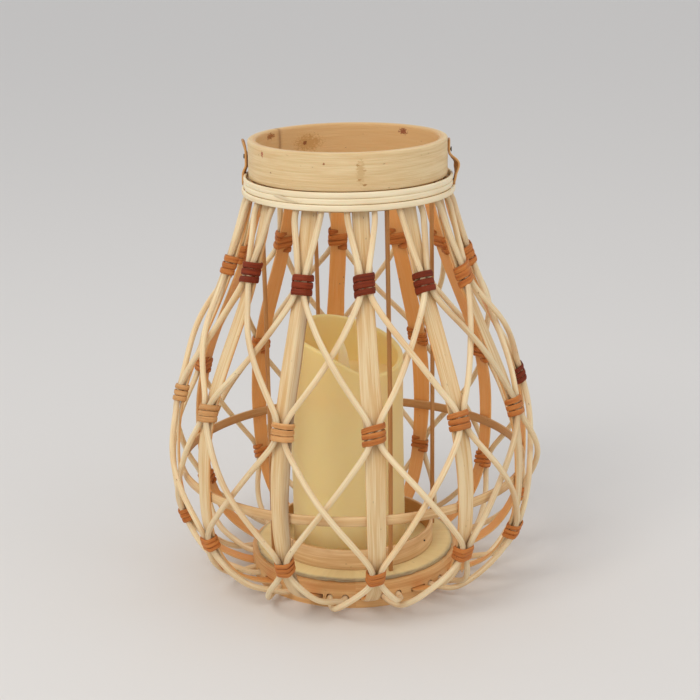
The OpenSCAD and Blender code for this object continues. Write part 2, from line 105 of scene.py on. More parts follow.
def wander(rng: np.random.Generator, length: Array, wave: float, size: float) -> Array:
    """A slow random curve: random heights every wave, joined by cosine steps."""
    knots = rng.uniform(-size, size, int(length.max() / wave) + 3)
    place = length / wave
    i = place.astype(int)
    u = (1 - np.cos(np.pi * (place - i))) / 2
    return knots[i] * (1 - u) + knots[i + 1] * u


def round_section(width: float, height: float, corner: float, parts: int = 4) -> Array:
    """Outline of a rectangle with quarter-circle corners, anticlockwise from the right."""
    quarter = np.linspace(0, np.pi / 2, parts + 1)
    angles = (np.arange(4)[:, None] * np.pi / 2 + quarter).ravel()
    signs = np.repeat([[1, 1], [-1, 1], [-1, -1], [1, -1]], parts + 1, axis=0)
    centres = signs * [width / 2 - corner, height / 2 - corner]
    return centres + corner * np.stack([np.cos(angles), np.sin(angles)], 1)


def rounded_loop(corners: Array, radii: Array, parts: int = 4) -> Array:
    """A closed outline with its corners rounded by quadratic curves.

    Each corner is cut back by its radius along both sides and bridged by the curve
    (1-t)^2 A + 2 t (1-t) C + t^2 B, where C is the sharp corner.
    """
    before = unit(np.roll(corners, 1, 0) - corners) * np.asarray(radii)[:, None]
    after = unit(np.roll(corners, -1, 0) - corners) * np.asarray(radii)[:, None]
    t = np.linspace(0, 1, parts + 1)[None, :, None]
    a, b, c = (corners + before)[:, None], (corners + after)[:, None], corners[:, None]
    return ((1 - t) ** 2 * a + 2 * t * (1 - t) * c + t ** 2 * b).reshape(-1, 2)


def carry(centres: Array, side: Array, out: Array, section: Array) -> Array:
    """A profile carried along a path: centre + side times x + out times y, at every place."""
    section = np.broadcast_to(section, (len(centres),) + section.shape[-2:])
    return (centres[:, None] + side[:, None] * section[..., :1] + out[:, None] * section[..., 1:2])


def turned(radius: Array, turn: Array, height: Array) -> Array:
    """Points at a radius and a turn in degrees from the front: (r sin t, -r cos t, z)."""
    t = np.radians(turn)
    return np.stack(np.broadcast_arrays(radius * np.sin(t), -radius * np.cos(t), height), -1)


def directions(turn: float) -> tuple[Array, Array]:
    """Unit vectors that point outwards and sideways at a turn in degrees from the front."""
    t = math.radians(turn)
    return np.array([math.sin(t), -math.cos(t), 0.0]), np.array([math.cos(t), math.sin(t), 0.0])


def travelled(points: Array) -> Array:
    """Length along a line of points, from its first one."""
    return np.concatenate([[0], np.cumsum(np.linalg.norm(np.diff(points, axis=0), axis=1))])


def sized(section: Array, wide: Array, tall: Array) -> Array:
    """A profile for every place: the section's two axes times the half sizes there."""
    return section[None] * np.stack(np.broadcast_arrays(wide, tall), 1)[:, None]


def looks(inner: object = 0.0, shade_and_grime: object = 0.0, tone: float = 0.5) -> dict[str, Array]:
    """A skin's values for its finish: how much it is an inner face, how much painted shade and grime it
    carries, and its tone.
    """
    return {"inner": np.asarray(inner), "shade_and_grime": np.asarray(shade_and_grime), "tone": np.asarray(tone)}


@dataclass
class Skin:
    """A grid of points that becomes one piece's mesh.

    Rows run along the piece and columns round its section, which is always closed.
    """

    points: Array
    row_length: Array
    closed_rows: bool = False
    values: dict[str, Array] = field(default_factory=dict)

    def corners(self) -> tuple[Array, Array]:
        """Corner indices (faces, 4, 2) as row and column, wrapped and unwrapped alike."""
        rows, columns = self.points.shape[:2]
        last = rows if self.closed_rows else rows - 1
        i, j = np.meshgrid(np.arange(last), np.arange(columns), indexing="ij")
        i, j = i.ravel(), j.ravel()
        row = np.stack([i, i, i + 1, i + 1], 1)
        column = np.stack([j, j + 1, j + 1, j], 1)
        return row, column

    def build(self, name: str, smooth_angle: float = 40.0) -> bpy.types.Object:
        """Makes the object, with a UV map in metres: u round the section and v along it.

        Args:
            name: the piece's name.
            smooth_angle: edges sharper than this many degrees stay crisp.

        Returns:
            The linked object, at the origin.
        """
        rows, columns = self.points.shape[:2]
        row, column = self.corners()
        faces = (row % rows) * columns + column % columns
        round_steps = np.linalg.norm(np.roll(self.points, -1, 1) - self.points, axis=-1).mean(0)
        u = np.concatenate([[0], np.cumsum(round_steps)])
        v = np.asarray(self.row_length, float)
        if self.closed_rows:
            v = np.append(v, 2 * v[-1] - v[-2])
        uv = np.stack([u[column], v[row]], -1).reshape(-1, 2) * MM
        vertices = self.points.reshape(-1, 3) * MM
        polygons = faces.tolist()
        if not self.closed_rows:
            tips = np.stack([self.points[0].mean(0), self.points[-1].mean(0)]) * MM
            first, last = len(vertices), (rows - 1) * columns
            vertices = np.vstack([vertices, tips])
            j = np.arange(columns)
            k = (j + 1) % columns
            start = np.stack([np.full(columns, first), k, j], 1)
            end = np.stack([np.full(columns, first + 1), last + j, last + k], 1)
            polygons += start.tolist() + end.tolist()
            cap = np.stack([np.tile(u[:-1, None], (1, 3)), np.full((columns, 3), v[0])], -1) * MM
            uv = np.vstack([uv, cap.reshape(-1, 2), cap.reshape(-1, 2)])
        if signed_volume(vertices, faces) < 0:
            polygons = [face[::-1] for face in polygons]
            sizes = np.array([len(face) for face in polygons])
            ends = np.cumsum(sizes)
            order = np.concatenate([np.arange(e - 1, e - n - 1, -1) for e, n in zip(ends, sizes)])
            uv = uv[order]
        mesh = bpy.data.meshes.new(name)
        mesh.from_pydata(vertices.tolist(), [], polygons)
        mesh.uv_layers.new(name="along").data.foreach_set("uv", uv.astype(np.float32).ravel())
        for key, values in self.values.items():
            full = np.broadcast_to(values, (rows, columns)).astype(np.float32).ravel()
            if not self.closed_rows:
                full = np.append(full, [full[0], full[-1]])
            mesh.attributes.new(key, "FLOAT", "POINT").data.foreach_set("value", full)
        mesh.validate()
        mesh.shade_smooth()
        mesh.set_sharp_from_angle(angle=math.radians(smooth_angle))
        piece = bpy.data.objects.new(name, mesh)
        bpy.context.scene.collection.objects.link(piece)
        return piece


def signed_volume(vertices: Array, quads: Array) -> float:
    """Six times the volume inside quads: sum of a . (b x c) over both halves of each."""
    a, b, c, d = (vertices[quads[:, k]] for k in range(4))
    return float((a * np.cross(b, c)).sum() + (a * np.cross(c, d)).sum())


def filled(loop: Array, step: float = 2.5) -> Array:
    """A closed outline with points added so that no side is longer than step."""
    ahead = np.roll(loop, -1, 0)
    parts = np.maximum(1, np.ceil(np.linalg.norm(ahead - loop, axis=1) / step).astype(int))
    start = np.repeat(np.arange(len(loop)), parts)
    share = np.concatenate([np.arange(n) / n for n in parts])[:, None]
    return loop[start] * (1 - share) + ahead[start] * share


# ---------------------------------------------------------------- node trees


Rgb = tuple[float, float, float]
Socket = bpy.types.NodeSocket
ZERO = (0.0, 0.0, 0.0)
SURFACE_OUTPUTS = {"Color": "NodeSocketColor", "Roughness": "NodeSocketFloat", "Height": "NodeSocketFloat"}


def colour(rgb: Rgb) -> tuple[float, float, float, float]:
    """A display colour from 0 to 255 as linear light: ((c + 0.055) / 1.055) to the power 2.4."""
    c = np.asarray(rgb) / 255
    linear = np.where(c <= 0.04045, c / 12.92, ((c + 0.055) / 1.055) ** 2.4)
    return (*linear.tolist(), 1.0)


class Graph:
    """Short ways to add and join the nodes of one tree."""

    def __init__(self, tree: bpy.types.NodeTree) -> None:
        """Empties the tree and keeps it."""
        self.tree = tree
        tree.nodes.clear()

    def node(self, kind: str, inputs: dict | None = None, **settings: object) -> bpy.types.Node:
        """Adds a node.

        Args:
            kind: the node's type, without its ShaderNode prefix.
            inputs: a value or a socket for each input, by name or number.
            settings: properties to set before the inputs.

        Returns:
            The new node.
        """
        made = self.tree.nodes.new(kind if kind.startswith("Node") else "ShaderNode" + kind)
        for key, value in settings.items():
            setattr(made, key, value)
        for key, value in (inputs or {}).items():
            if isinstance(value, Socket):
                self.tree.links.new(value, made.inputs[key])
            else:
                made.inputs[key].default_value = value
        return made

    def math(self, operation: str, *values: object) -> Socket:
        """The result of one Math node."""
        return self.node("Math", dict(enumerate(values)), operation=operation).outputs[0]

    def times(self, a: object, b: object) -> Socket:
        """One value times another."""
        return self.math("MULTIPLY", a, b)

    def plus(self, a: object, b: object) -> Socket:
        """One value plus another."""
        return self.math("ADD", a, b)

    def vector(self, operation: str, a: object, b: object) -> Socket:
        """The vector that one Vector Math node makes of two."""
        return self.node("VectorMath", {0: a, 1: b}, operation=operation).outputs[0]

    def scaled(self, place: Socket, scale: object) -> Socket:
        """A vector times a vector."""
        return self.vector("MULTIPLY", place, scale)

    def flat(self, across: object, along: object) -> Socket:
        """A vector of two values and zero."""
        return self.node("CombineXYZ", {0: across, 1: along, 2: 0.0}).outputs[0]

    def mix(self, share: object, a: object, b: object, blend: str = "MIX") -> Socket:
        """Colour a turned towards colour b by a share."""
        return self.node("Mix", {0: share, 6: a, 7: b}, data_type="RGBA", blend_type=blend).outputs[2]

    def noise(self, place: Socket, detail: float = 2.0, warp: float = 0.0) -> Socket:
        """Noise from 0 to 1 at a place whose units are the noise's own."""
        return self.node("TexNoise", {"Vector": place, "Scale": 1.0, "Detail": detail,
                                      "Distortion": warp}).outputs[0]

    def rise(self, value: Socket, low: float, high: float, top: object = 1.0) -> Socket:
        """Smooth step of a value from 0 at low to top at high."""
        return self.node("MapRange", {0: value, 1: low, 2: high, 4: top},
                         interpolation_type="SMOOTHSTEP").outputs[0]

    def attribute(self, name: str) -> Socket:
        """A value kept on the mesh."""
        return self.node("Attribute", attribute_name=name).outputs["Fac"]


def shared_group(name: str, inputs: dict[str, object], outputs: dict[str, str],
                 build: object) -> bpy.types.NodeTree:
    """A shader node group, made on its first use.

    Args:
        name: the group's name.
        inputs: default value for each input; its type follows from the value.
        outputs: socket type for each output.
        build: function of the graph and its input sockets that gives the output sockets.

    Returns:
        The group's tree.
    """
    if name in bpy.data.node_groups:
        return bpy.data.node_groups[name]
    tree = bpy.data.node_groups.new(name, "ShaderNodeTree")
    kinds = {3: "NodeSocketVector", 4: "NodeSocketColor"}
    for key, value in inputs.items():
        kind = kinds[len(value)] if isinstance(value, tuple) else "NodeSocketFloat"
        tree.interface.new_socket(key, in_out="INPUT", socket_type=kind).default_value = value
    for key, kind in outputs.items():
        tree.interface.new_socket(key, in_out="OUTPUT", socket_type=kind)
    graph = Graph(tree)
    source = graph.node("NodeGroupInput")
    results = build(graph, {key: source.outputs[key] for key in inputs})
    graph.node("NodeGroupOutput", results)
    return tree


def build_fibre(graph: Graph, given: dict[str, Socket]) -> dict[str, Socket]:
    """Colour and relief of split bamboo or rattan.

    Fine and broad noise, drawn out along the fibres, turn the pale colour to the middle one.
    Inner faces turn to the deep one as painted shade and bounced light, places of painted shade and of wear
    turn to the stain colour, and small dark flecks lie on top.
    """
    shift = graph.flat(graph.times(given["Tone"], 3.7), graph.times(given["Tone"], 1.9))
    place = graph.vector("ADD", given["Place"], shift)
    fine_size = graph.flat(given["Fine"], graph.times(given["Fine"], 0.018))
    broad_size = graph.flat(graph.times(given["Fine"], 0.2), graph.times(given["Fine"], 0.007))
    fine = graph.noise(graph.scaled(place, fine_size), 3.0)
    broad = graph.noise(graph.scaled(place, broad_size), 2.0)
    cloud = graph.noise(graph.scaled(place, (70.0, 28.0, 1.0)), 3.0, 0.4)
    fleck = graph.rise(graph.noise(graph.scaled(place, (900.0, 300.0, 1.0)), 1.0), 0.70, 0.78)
    sparse = graph.rise(graph.noise(graph.scaled(place, (110.0, 70.0, 1.0)), 1.0), 0.52, 0.66)
    both = graph.plus(graph.times(fine, 0.5), graph.times(broad, 0.5))
    turned_mid = graph.times(graph.rise(both, 0.38, 0.64), given["Streak"])
    body = graph.mix(turned_mid, given["Pale"], given["Mid"])
    clouded = graph.times(graph.rise(cloud, 0.45, 0.75), given["Cloud"])
    body = graph.mix(clouded, body, given["Deep"])
    # painted shade and bounced light: inner faces turn to the deep colour
    inner = graph.times(given["Inner"], graph.plus(0.62, graph.times(fine, 0.35)))
    # painted shade near ties, rims and feet, together with real wear and edge colour, turns the fibre to the
    # stain colour
    shade_and_wear = graph.times(given["Shade_And_Grime"], graph.plus(0.35, graph.times(cloud, 0.7)))
    flecks = graph.times(graph.times(fleck, sparse), given["Fleck"])
    for share, tint in ((inner, "Deep"), (shade_and_wear, "Shade_And_Stain"), (flecks, "Shade_And_Stain")):
        body = graph.mix(share, body, given[tint])
    value = graph.plus(0.9, graph.times(given["Tone"], 0.2))
    body = graph.node("HueSaturation", {"Value": value, "Color": body}).outputs[0]
    rough = graph.plus(given["Gloss"], graph.times(fine, 0.18))
    height = graph.math("SUBTRACT", graph.plus(fine, graph.times(broad, 0.8)),
                        graph.times(flecks, 0.5))
    return {"Color": body, "Roughness": rough, "Height": height}


def build_patch(graph: Graph, given: dict[str, Socket]) -> dict[str, Socket]:
    """A ragged mark: one minus the distance from its centre in its own sizes, broken by noise."""
    away = graph.vector("DIVIDE", graph.vector("SUBTRACT", given["Place"], given["Centre"]), given["Size"])
    reach = graph.node("VectorMath", {0: away}, operation="LENGTH").outputs["Value"]
    ragged = graph.noise(graph.scaled(given["Place"], (1300.0, 600.0, 1.0)), 2.0, 0.6)
    edge = graph.math("SUBTRACT", graph.times(ragged, 1.9), reach)
    return {"Mask": graph.rise(edge, 0.05, 0.45)}


@dataclass(frozen=True)
class Mark:
    """A scar on a bamboo face: where it is and how large, in millimetres across and along."""

    centre: tuple[float, float]
    size: tuple[float, float]
    tint: Rgb


@dataclass(frozen=True)
class Surface:
    """A finish, under the name of the frame's material slot."""

    name: str

    def material(self) -> bpy.types.Material:
        """The finish's material, made on its first use."""
        title = f"{self.name}_finish"
        if title not in bpy.data.materials:
            made = bpy.data.materials.new(title)
            made.use_nodes = True
            self.wire(Graph(made.node_tree))
        return bpy.data.materials[title]

    def wire(self, graph: Graph) -> None:
        """Fills the material's tree."""
        raise NotImplementedError


@dataclass(frozen=True)
class Fibre(Surface):
    """A bamboo, rattan or wood finish. Colours are display values from 0 to 255."""

    pale: Rgb
    mid: Rgb
    deep: Rgb
    shade_and_stain: Rgb = (120, 70, 36)
    streak: float = 0.8
    cloud: float = 0.25
    fleck: float = 0.6
    fine: float = 2200.0
    relief: float = 0.5
    gloss: float = 0.42
    coat: float = 0.12
    marks: tuple[Mark, ...] = ()
    ring_radius: float = 0.0
    on_mesh: bool = True

    def place(self, graph: Graph) -> Socket:
        """Across and along the fibres in metres, from the UV map or from the object's own axes.

        With a ring radius, across is the height and along is the angle times that radius.
        """
        if self.on_mesh:
            return graph.node("UVMap", uv_map="along").outputs[0]
        spot = graph.node("TexCoord").outputs["Object"]
        if not self.ring_radius:
            return spot
        axes = graph.node("SeparateXYZ", {0: spot}).outputs
        along = graph.times(graph.math("ARCTAN2", axes[0], axes[1]), self.ring_radius * MM)
        away = graph.math("SQRT", graph.plus(graph.times(axes[0], axes[0]), graph.times(axes[1], axes[1])))
        return graph.flat(graph.plus(axes[2], away), along)

    def wire(self, graph: Graph) -> None:
        """The shared fibre group with this finish's values, then its marks, relief and shader."""
        place = self.place(graph)
        group = shared_group(
            "plant_fibre",
            {"Place": ZERO, "Pale": (1.0,) * 4, "Mid": (0.5,) * 4, "Deep": (0.2,) * 4, "Shade_And_Stain": (0.1,) * 4,
             "Streak": 0.8, "Cloud": 0.2, "Fleck": 0.5, "Fine": 2200.0, "Gloss": 0.4,
             "Inner": 0.0, "Shade_And_Grime": 0.0, "Tone": 0.5}, SURFACE_OUTPUTS, build_fibre)
        given = {key: colour(getattr(self, key.lower())) for key in ("Pale", "Mid", "Deep", "Shade_And_Stain")}
        given |= {key: getattr(self, key.lower()) for key in ("Streak", "Cloud", "Fleck", "Fine", "Gloss")}
        given["Place"] = place
        if self.on_mesh:
            given |= {key: graph.attribute(key.lower()) for key in ("Inner", "Shade_And_Grime", "Tone")}
        fibre = graph.node("Group", given, node_tree=group)
        tinted = fibre.outputs["Color"]
        for mark in self.marks:
            patch = shared_group("ragged_mark", {"Place": ZERO, "Centre": ZERO, "Size": (1.0, 1.0, 1.0)},
                                 {"Mask": "NodeSocketFloat"}, build_patch)
            centre = (mark.centre[0] * MM, mark.centre[1] * MM, 0.0)
            size = (mark.size[0] * MM, mark.size[1] * MM, 1.0)
            spot = graph.node("Group", {"Place": place, "Centre": centre, "Size": size}, node_tree=patch)
            tinted = graph.mix(spot.outputs["Mask"], tinted, colour(mark.tint))
        bump = graph.node("Bump", {"Strength": self.relief, "Distance": 0.0004,
                                   "Height": fibre.outputs["Height"]})
        shader = graph.node("BsdfPrincipled", {
            "Base Color": tinted, "Roughness": fibre.outputs["Roughness"], "Normal": bump.outputs[0],
            "Coat Weight": self.coat, "Coat Roughness": 0.35, "Specular IOR Level": 0.22,
            "Subsurface Weight": 0.06, "Subsurface Scale": 0.002})
        graph.node("OutputMaterial", {"Surface": shader.outputs[0]})


@dataclass(frozen=True)
class Solid(Surface):
    """A plain moulded, metal or wax finish with a faint cloud of tone and a fine surface."""

    base: Rgb
    shade: Rgb
    grain: float = 300.0
    relief: float = 0.15
    gloss: float = 0.4
    metallic: float = 0.0
    wax: float = 0.0
    wax_reach: float = 0.0
    coat: float = 0.0

    def wire(self, graph: Graph) -> None:
        """The shared moulded group with this finish's values, then its relief and shader."""
        group = shared_group(
            "moulded_surface",
            {"Place": ZERO, "Size": (1.0, 1.0, 1.0), "Base": (1.0,) * 4, "Shade": (0.5,) * 4,
             "Gloss": 0.4}, SURFACE_OUTPUTS, build_moulded)
        surface = graph.node("Group", {
            "Place": graph.node("TexCoord").outputs["Object"], "Size": (self.grain,) * 3,
            "Base": colour(self.base), "Shade": colour(self.shade), "Gloss": self.gloss}, node_tree=group)
        bump = graph.node("Bump", {"Strength": self.relief, "Distance": 0.0003,
                                   "Height": surface.outputs["Height"]})
        shader = graph.node("BsdfPrincipled", {
            "Base Color": surface.outputs["Color"], "Roughness": surface.outputs["Roughness"],
            "Metallic": self.metallic, "Subsurface Weight": self.wax,
            "Subsurface Radius": (1.0, 0.72, 0.36), "Subsurface Scale": self.wax_reach,
            "Coat Weight": self.coat, "Coat Roughness": 0.3, "Normal": bump.outputs[0]})
        graph.node("OutputMaterial", {"Surface": shader.outputs[0]})


def build_moulded(graph: Graph, given: dict[str, Socket]) -> dict[str, Socket]:
    """Base colour turned a little towards the shade by slow noise; fine noise gives the relief."""
    place = graph.scaled(given["Place"], given["Size"])
    slow = graph.noise(graph.scaled(place, (0.12, 0.12, 0.12)), 3.0)
    fine = graph.noise(graph.scaled(place, (6.0, 6.0, 6.0)), 3.0)
    body = graph.mix(graph.rise(slow, 0.35, 0.7), given["Base"], given["Shade"])
    rough = graph.plus(given["Gloss"], graph.times(fine, 0.12))
    return {"Color": body, "Roughness": rough, "Height": fine}


class Finish(Enum):
    """Every finish of the lantern, under the frame's material slots."""

    # In each fibre finish the deep colour is the inner faces' painted shade and bounced light, and the
    # fourth, dark colour is painted shade near ties, rims and feet together with real wear and edge colour.
    COLLAR = Fibre("collar_bamboo", (236, 208, 160), (216, 182, 128), (218, 172, 114), streak=0.8,
                   cloud=0.3, fleck=0.9, fine=2600.0, relief=0.6, marks=(
                       Mark((19.0, -61.0), (2.6, 1.5), (178, 106, 74)),
                       Mark((9.0, -52.6), (0.9, 0.8), (150, 90, 56)),
                       Mark((17.0, -14.3), (0.8, 0.9), (160, 104, 62)),
                       Mark((12.0, 7.5), (9.5, 3.2), (212, 176, 124)),
                       Mark((16.0, 5.6), (0.9, 1.3), (190, 148, 94)),
                       Mark((12.6, 9.4), (0.7, 1.5), (196, 156, 102)),
                       Mark((7.4, 6.8), (0.9, 1.2), (186, 142, 88)),
                       Mark((4.2, 9.8), (0.8, 1.6), (178, 132, 80)),
                       Mark((31.5, 153.0), (2.6, 4.6), (150, 88, 54)),
                       Mark((39.0, 226.0), (7.0, 13.0), (200, 152, 92)),
                       Mark((39.0, 228.3), (1.8, 2.0), (140, 82, 42)),
                       Mark((31.0, -131.0), (2.6, 6.5), (164, 106, 58))))
    BINDING = Fibre("binding_rattan", (246, 230, 196), (232, 208, 164), (204, 162, 104), streak=0.6,
                    cloud=0.2, fleck=0.5, fine=2600.0, relief=0.4)
    SLAT = Fibre("slat_bamboo", (240, 214, 168), (218, 176, 118), (238, 164, 84), (134, 104, 82),
                 streak=0.95, cloud=0.12, fleck=0.9, fine=1700.0, relief=0.6)
    CANE = Fibre("cane_rattan", (244, 224, 184), (226, 190, 138), (198, 140, 78), streak=0.75,
                 cloud=0.35, fleck=0.9, fine=2400.0, relief=0.9, gloss=0.5, coat=0.04)
    TIE_DARK = Fibre("tie_dark", (142, 54, 18), (106, 34, 8), (74, 22, 5), (34, 12, 5), streak=1.0,
                     fine=3600.0, relief=0.9, gloss=0.5, coat=0.03)
    TIE_MID = Fibre("tie_mid", (212, 134, 66), (180, 98, 40), (144, 70, 26), (84, 38, 14), streak=0.95,
                    fine=3600.0, relief=0.9, gloss=0.46, coat=0.05)
    TIE_LIGHT = Fibre("tie_light", (226, 172, 112), (200, 138, 78), (162, 100, 52), (96, 54, 26),
                      streak=0.95, fine=3600.0, relief=0.9, gloss=0.46, coat=0.05)
    HOOP = Fibre("hoop_bamboo", (240, 206, 154), (216, 172, 116), (190, 134, 76), streak=0.9, cloud=0.4,
                 fleck=1.0, fine=1700.0)
    STRUT = Fibre("strut_bamboo", (212, 160, 100), (188, 128, 68), (150, 94, 46), streak=0.9, fine=2600.0)
    BASE = Fibre("base_bamboo", (236, 190, 130), (214, 156, 94), (176, 114, 60), streak=0.9, fine=1600.0,
                 ring_radius=66.0, on_mesh=False)
    BOARD = Fibre("board_wood", (244, 222, 162), (232, 204, 140), (190, 160, 112), (126, 112, 98),
                  streak=0.35, cloud=0.2, fleck=0.8, fine=900.0, relief=0.4, gloss=0.55, coat=0.0)
    LUG = Fibre("lug_bamboo", (226, 178, 116), (202, 146, 80), (164, 102, 50), streak=0.9, fine=1700.0)
    NAIL = Solid("nail_steel", (96, 84, 76), (60, 50, 44), gloss=0.42, metallic=0.8)
    WAX = Solid("candle_wax", (244, 218, 152), (238, 208, 138), grain=120.0, relief=0.06, gloss=0.5,
                wax=0.5, wax_reach=0.01)
    CUP = Solid("cup_plastic", (226, 222, 206), (214, 208, 190), relief=0.2, gloss=0.45)
    SWITCH = Solid("switch_plastic", (40, 40, 42), (30, 30, 32), gloss=0.5)
    BATTERY = Solid("battery_case", (70, 78, 86), (44, 50, 58), gloss=0.3, metallic=0.5)
    CONTACT = Solid("contact_metal", (196, 196, 190), (160, 160, 156), gloss=0.3, metallic=1.0)
    CIRCUIT = Solid("circuit_board", (30, 104, 66), (20, 82, 52), grain=900.0, gloss=0.4, coat=0.3)
    COIL = Solid("coil_copper", (190, 110, 66), (150, 78, 44), grain=1800.0, relief=0.6, gloss=0.3,
                 metallic=1.0)
    LED = Solid("led_lens", (244, 236, 206), (236, 224, 188), gloss=0.15, coat=0.5)
    FLAME = Solid("flame_plastic", (250, 238, 204), (246, 230, 188), grain=200.0, relief=0.05, gloss=0.35,
                  wax=0.5, wax_reach=0.004)
    MAGNET = Solid("magnet_steel", (150, 150, 152), (110, 110, 112), gloss=0.3, metallic=1.0)
    SCREW = Solid("screw_steel", (180, 180, 184), (140, 140, 146), gloss=0.3, metallic=1.0)


@dataclass
class Assembly:
    """A sub-assembly: its pieces ride with one body, and each is reported when it is set."""

    body: Body = field(default=Body.CAGE, kw_only=True)

    def settle(self, piece: bpy.types.Object, finish: Finish, *nodes: str) -> bpy.types.Object:
        """Gives a new piece its finish, body and slot, and hides the nodes that it stands for.

        Args:
            piece: the object, already in place.
            finish: its finish, whose name is the frame's slot.
            nodes: the frame's nodes that it replaces.

        Returns:
            The piece.
        """
        piece.data.materials.append(finish.value.material())
        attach(piece, self.body.value)
        if nodes:
            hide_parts(*nodes)
        log.info("%s: %d faces, rides on %s", piece.name, len(piece.data.polygons), self.body.value)
        return piece

    def dress(self, node: str, finish: Finish) -> None:
        """Puts a finish on a node of the frame that is shown as it is."""
        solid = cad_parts[node]
        if not solid.material_slots:
            solid.data.materials.append(finish.value.material())
        for place in solid.material_slots:
            place.material = finish.value.material()
        log.info("%s: dressed as %s", node, finish.value.name)


# ---------------------------------------------------------------- the cage's own geometry


def box_mm(node: str) -> tuple[Array, Array]:
    """A node's lowest and highest corners in millimetres."""
    low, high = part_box(node)
    return np.array(low) / MM, np.array(high) / MM


@dataclass
class CageLine:
    """The middle line that every slat follows, from the neck down to the base ring.

    It is a centripetal spline through knots of [radius, height]. A place on the cage is a way
    s down the line, a turn from the front, a distance outwards and a distance sideways.
    """

    shoulder_out: float = 14.6
    upper_tie_drop: float = 47.0
    middle_tie_h: float = 129.0
    middle_inset: float = 6.0
    belly_r: float = 115.0
    belly_h: float = 86.0
    lower_tie_h: float = 46.0
    lower_inset: float = 4.4
    heel_inset: float = 20.0
    heel_h: float = 20.5
    tuck_h: float = 7.0
    slat_t: float = 2.0
    cage_turn: float = 6.0
    neck_rebate: float = 3.0
    base_wall: float = 5.3
    tie_lifts: tuple[tuple[int, ...], ...] = (
        (4, 2, 0, 3, 4, 1, -1, 1, 0, 1, 5, 3),
        (2, 3, -3, 1, 0, 2, 0, 0, 0, -2, 2, 2),
        (-4, 3, -2, 1, 3, 2, 0, 2, 0, -2, 1, 0))
    slat_turns: tuple[float, ...] = (0.5, 0, 0, 0, -1, -2, 0, 0, 0, 0, 0, 1.5)

    def __post_init__(self) -> None:
        """Lays the line out and measures its length."""
        self.binding_low, self.binding_high = (corner[2] for corner in box_mm("neck_binding"))
        self.neck_r = box_mm("collar")[1][0] - self.neck_rebate + self.slat_t / 2 + 0.25
        self.base_r = box_mm("base_ring")[1][0]
        upper = self.binding_low - self.upper_tie_drop
        self.rows = (upper, self.middle_tie_h, self.lower_tie_h)
        knots = np.array([
            (self.neck_r, self.binding_high - 1), (self.neck_r, self.binding_low + 2),
            (self.neck_r + self.shoulder_out, upper),
            (self.belly_r - self.middle_inset, self.middle_tie_h), (self.belly_r, self.belly_h),
            (self.belly_r - self.lower_inset, self.lower_tie_h),
            (self.belly_r - self.heel_inset, self.heel_h),
            (self.base_r + 1.5, self.tuck_h), (self.base_r - self.base_wall + 0.4, self.tuck_h)])
        line = self.spline(knots)
        self.s = travelled(line)
        self.line = line
        self.length = float(self.s[-1])

    @staticmethod
    def spline(knots: Array, parts: int = 60) -> Array:
        """Centripetal spline: three rounds of straight mixing, by the roots of the knots' gaps."""
        ends = np.vstack([2 * knots[0] - knots[1], knots, 2 * knots[-1] - knots[-2]])
        root = np.sqrt(np.linalg.norm(np.diff(ends, axis=0), axis=1))
        a, b, c, d = (ends[k:len(ends) - 3 + k, None] for k in range(4))
        t1 = root[:-2, None, None]
        t2 = t1 + root[1:-1, None, None]
        t3 = t2 + root[2:, None, None]
        t = t1 + (t2 - t1) * np.linspace(0, 1, parts, endpoint=False)[None, :, None]

        def mixed(p: Array, q: Array, tp: Array, tq: Array) -> Array:
            """The point between p and q that t is at, between tp and tq."""
            return ((tq - t) * p + (t - tp) * q) / (tq - tp)

        zero = np.zeros_like(t1)
        ab, bc, cd = mixed(a, b, zero, t1), mixed(b, c, t1, t2), mixed(c, d, t2, t3)
        points = mixed(mixed(ab, bc, zero, t2), mixed(bc, cd, t1, t3), t1, t2)
        return np.vstack([points.reshape(-1, 2), knots[-1:]])

    def at(self, s: Array) -> Array:
        """Radius and height at a way down the line."""
        return np.stack([np.interp(s, self.s, self.line[:, k]) for k in (0, 1)], -1)

    def out(self, s: Array) -> Array:
        """Unit vector [radius, height] that points out of the cage."""
        way = unit(self.at(np.asarray(s) + 0.8) - self.at(np.asarray(s) - 0.8))
        return np.stack([-way[..., 1], way[..., 0]], -1)

    def s_at(self, height: float) -> float:
        """Way down the line to a height above the base ring."""
        return float(np.interp(-height, -self.line[:-60, 1], self.s[:-60]))

    def slat_turn(self, i: int) -> float:
        """Turn of a slat in degrees; slat 0 is the front one."""
        return self.cage_turn + i * 360 / SLAT_COUNT + self.slat_turns[i % SLAT_COUNT]

    def tie_s(self, row: int, i: int) -> float:
        """Way down to the tie of a row on a slat."""
        return self.s_at(self.rows[row] + self.tie_lifts[row][i % SLAT_COUNT])

    def near_ties(self, s: Array, slats: tuple[int, int, int], reach: float = 4.0) -> Array:
        """How close places are to three ties: the sum of bells round each, and round the neck. It is used as
        painted shade next to the ties and under the neck binding.
        """
        bells = [np.exp(-0.5 * ((np.abs(s - self.tie_s(row, i)) - 5) / reach) ** 2)
                 for row, i in enumerate(slats)]
        # painted shade under the neck binding and collar
        neck = 0.8 * np.exp(-0.5 * ((s - self.s_at(self.binding_low)) / 7) ** 2)
        return np.clip(sum(bells) * 0.6 + neck, 0, 1)

    def place(self, s: Array, turn: Array, side: Array, out: Array) -> Array:
        """Points on the cage: the line's point plus out times its outward, turned, plus sideways."""
        s, turn, side, out = np.broadcast_arrays(s, turn, side, out)
        spot = self.at(s) + out[..., None] * self.out(s)
        t = np.radians(turn)
        around = np.stack([np.cos(t), np.sin(t), np.zeros_like(t)], -1)
        return turned(spot[..., 0], turn, spot[..., 1]) + side[..., None] * around


# ---------------------------------------------------------------- cage pieces


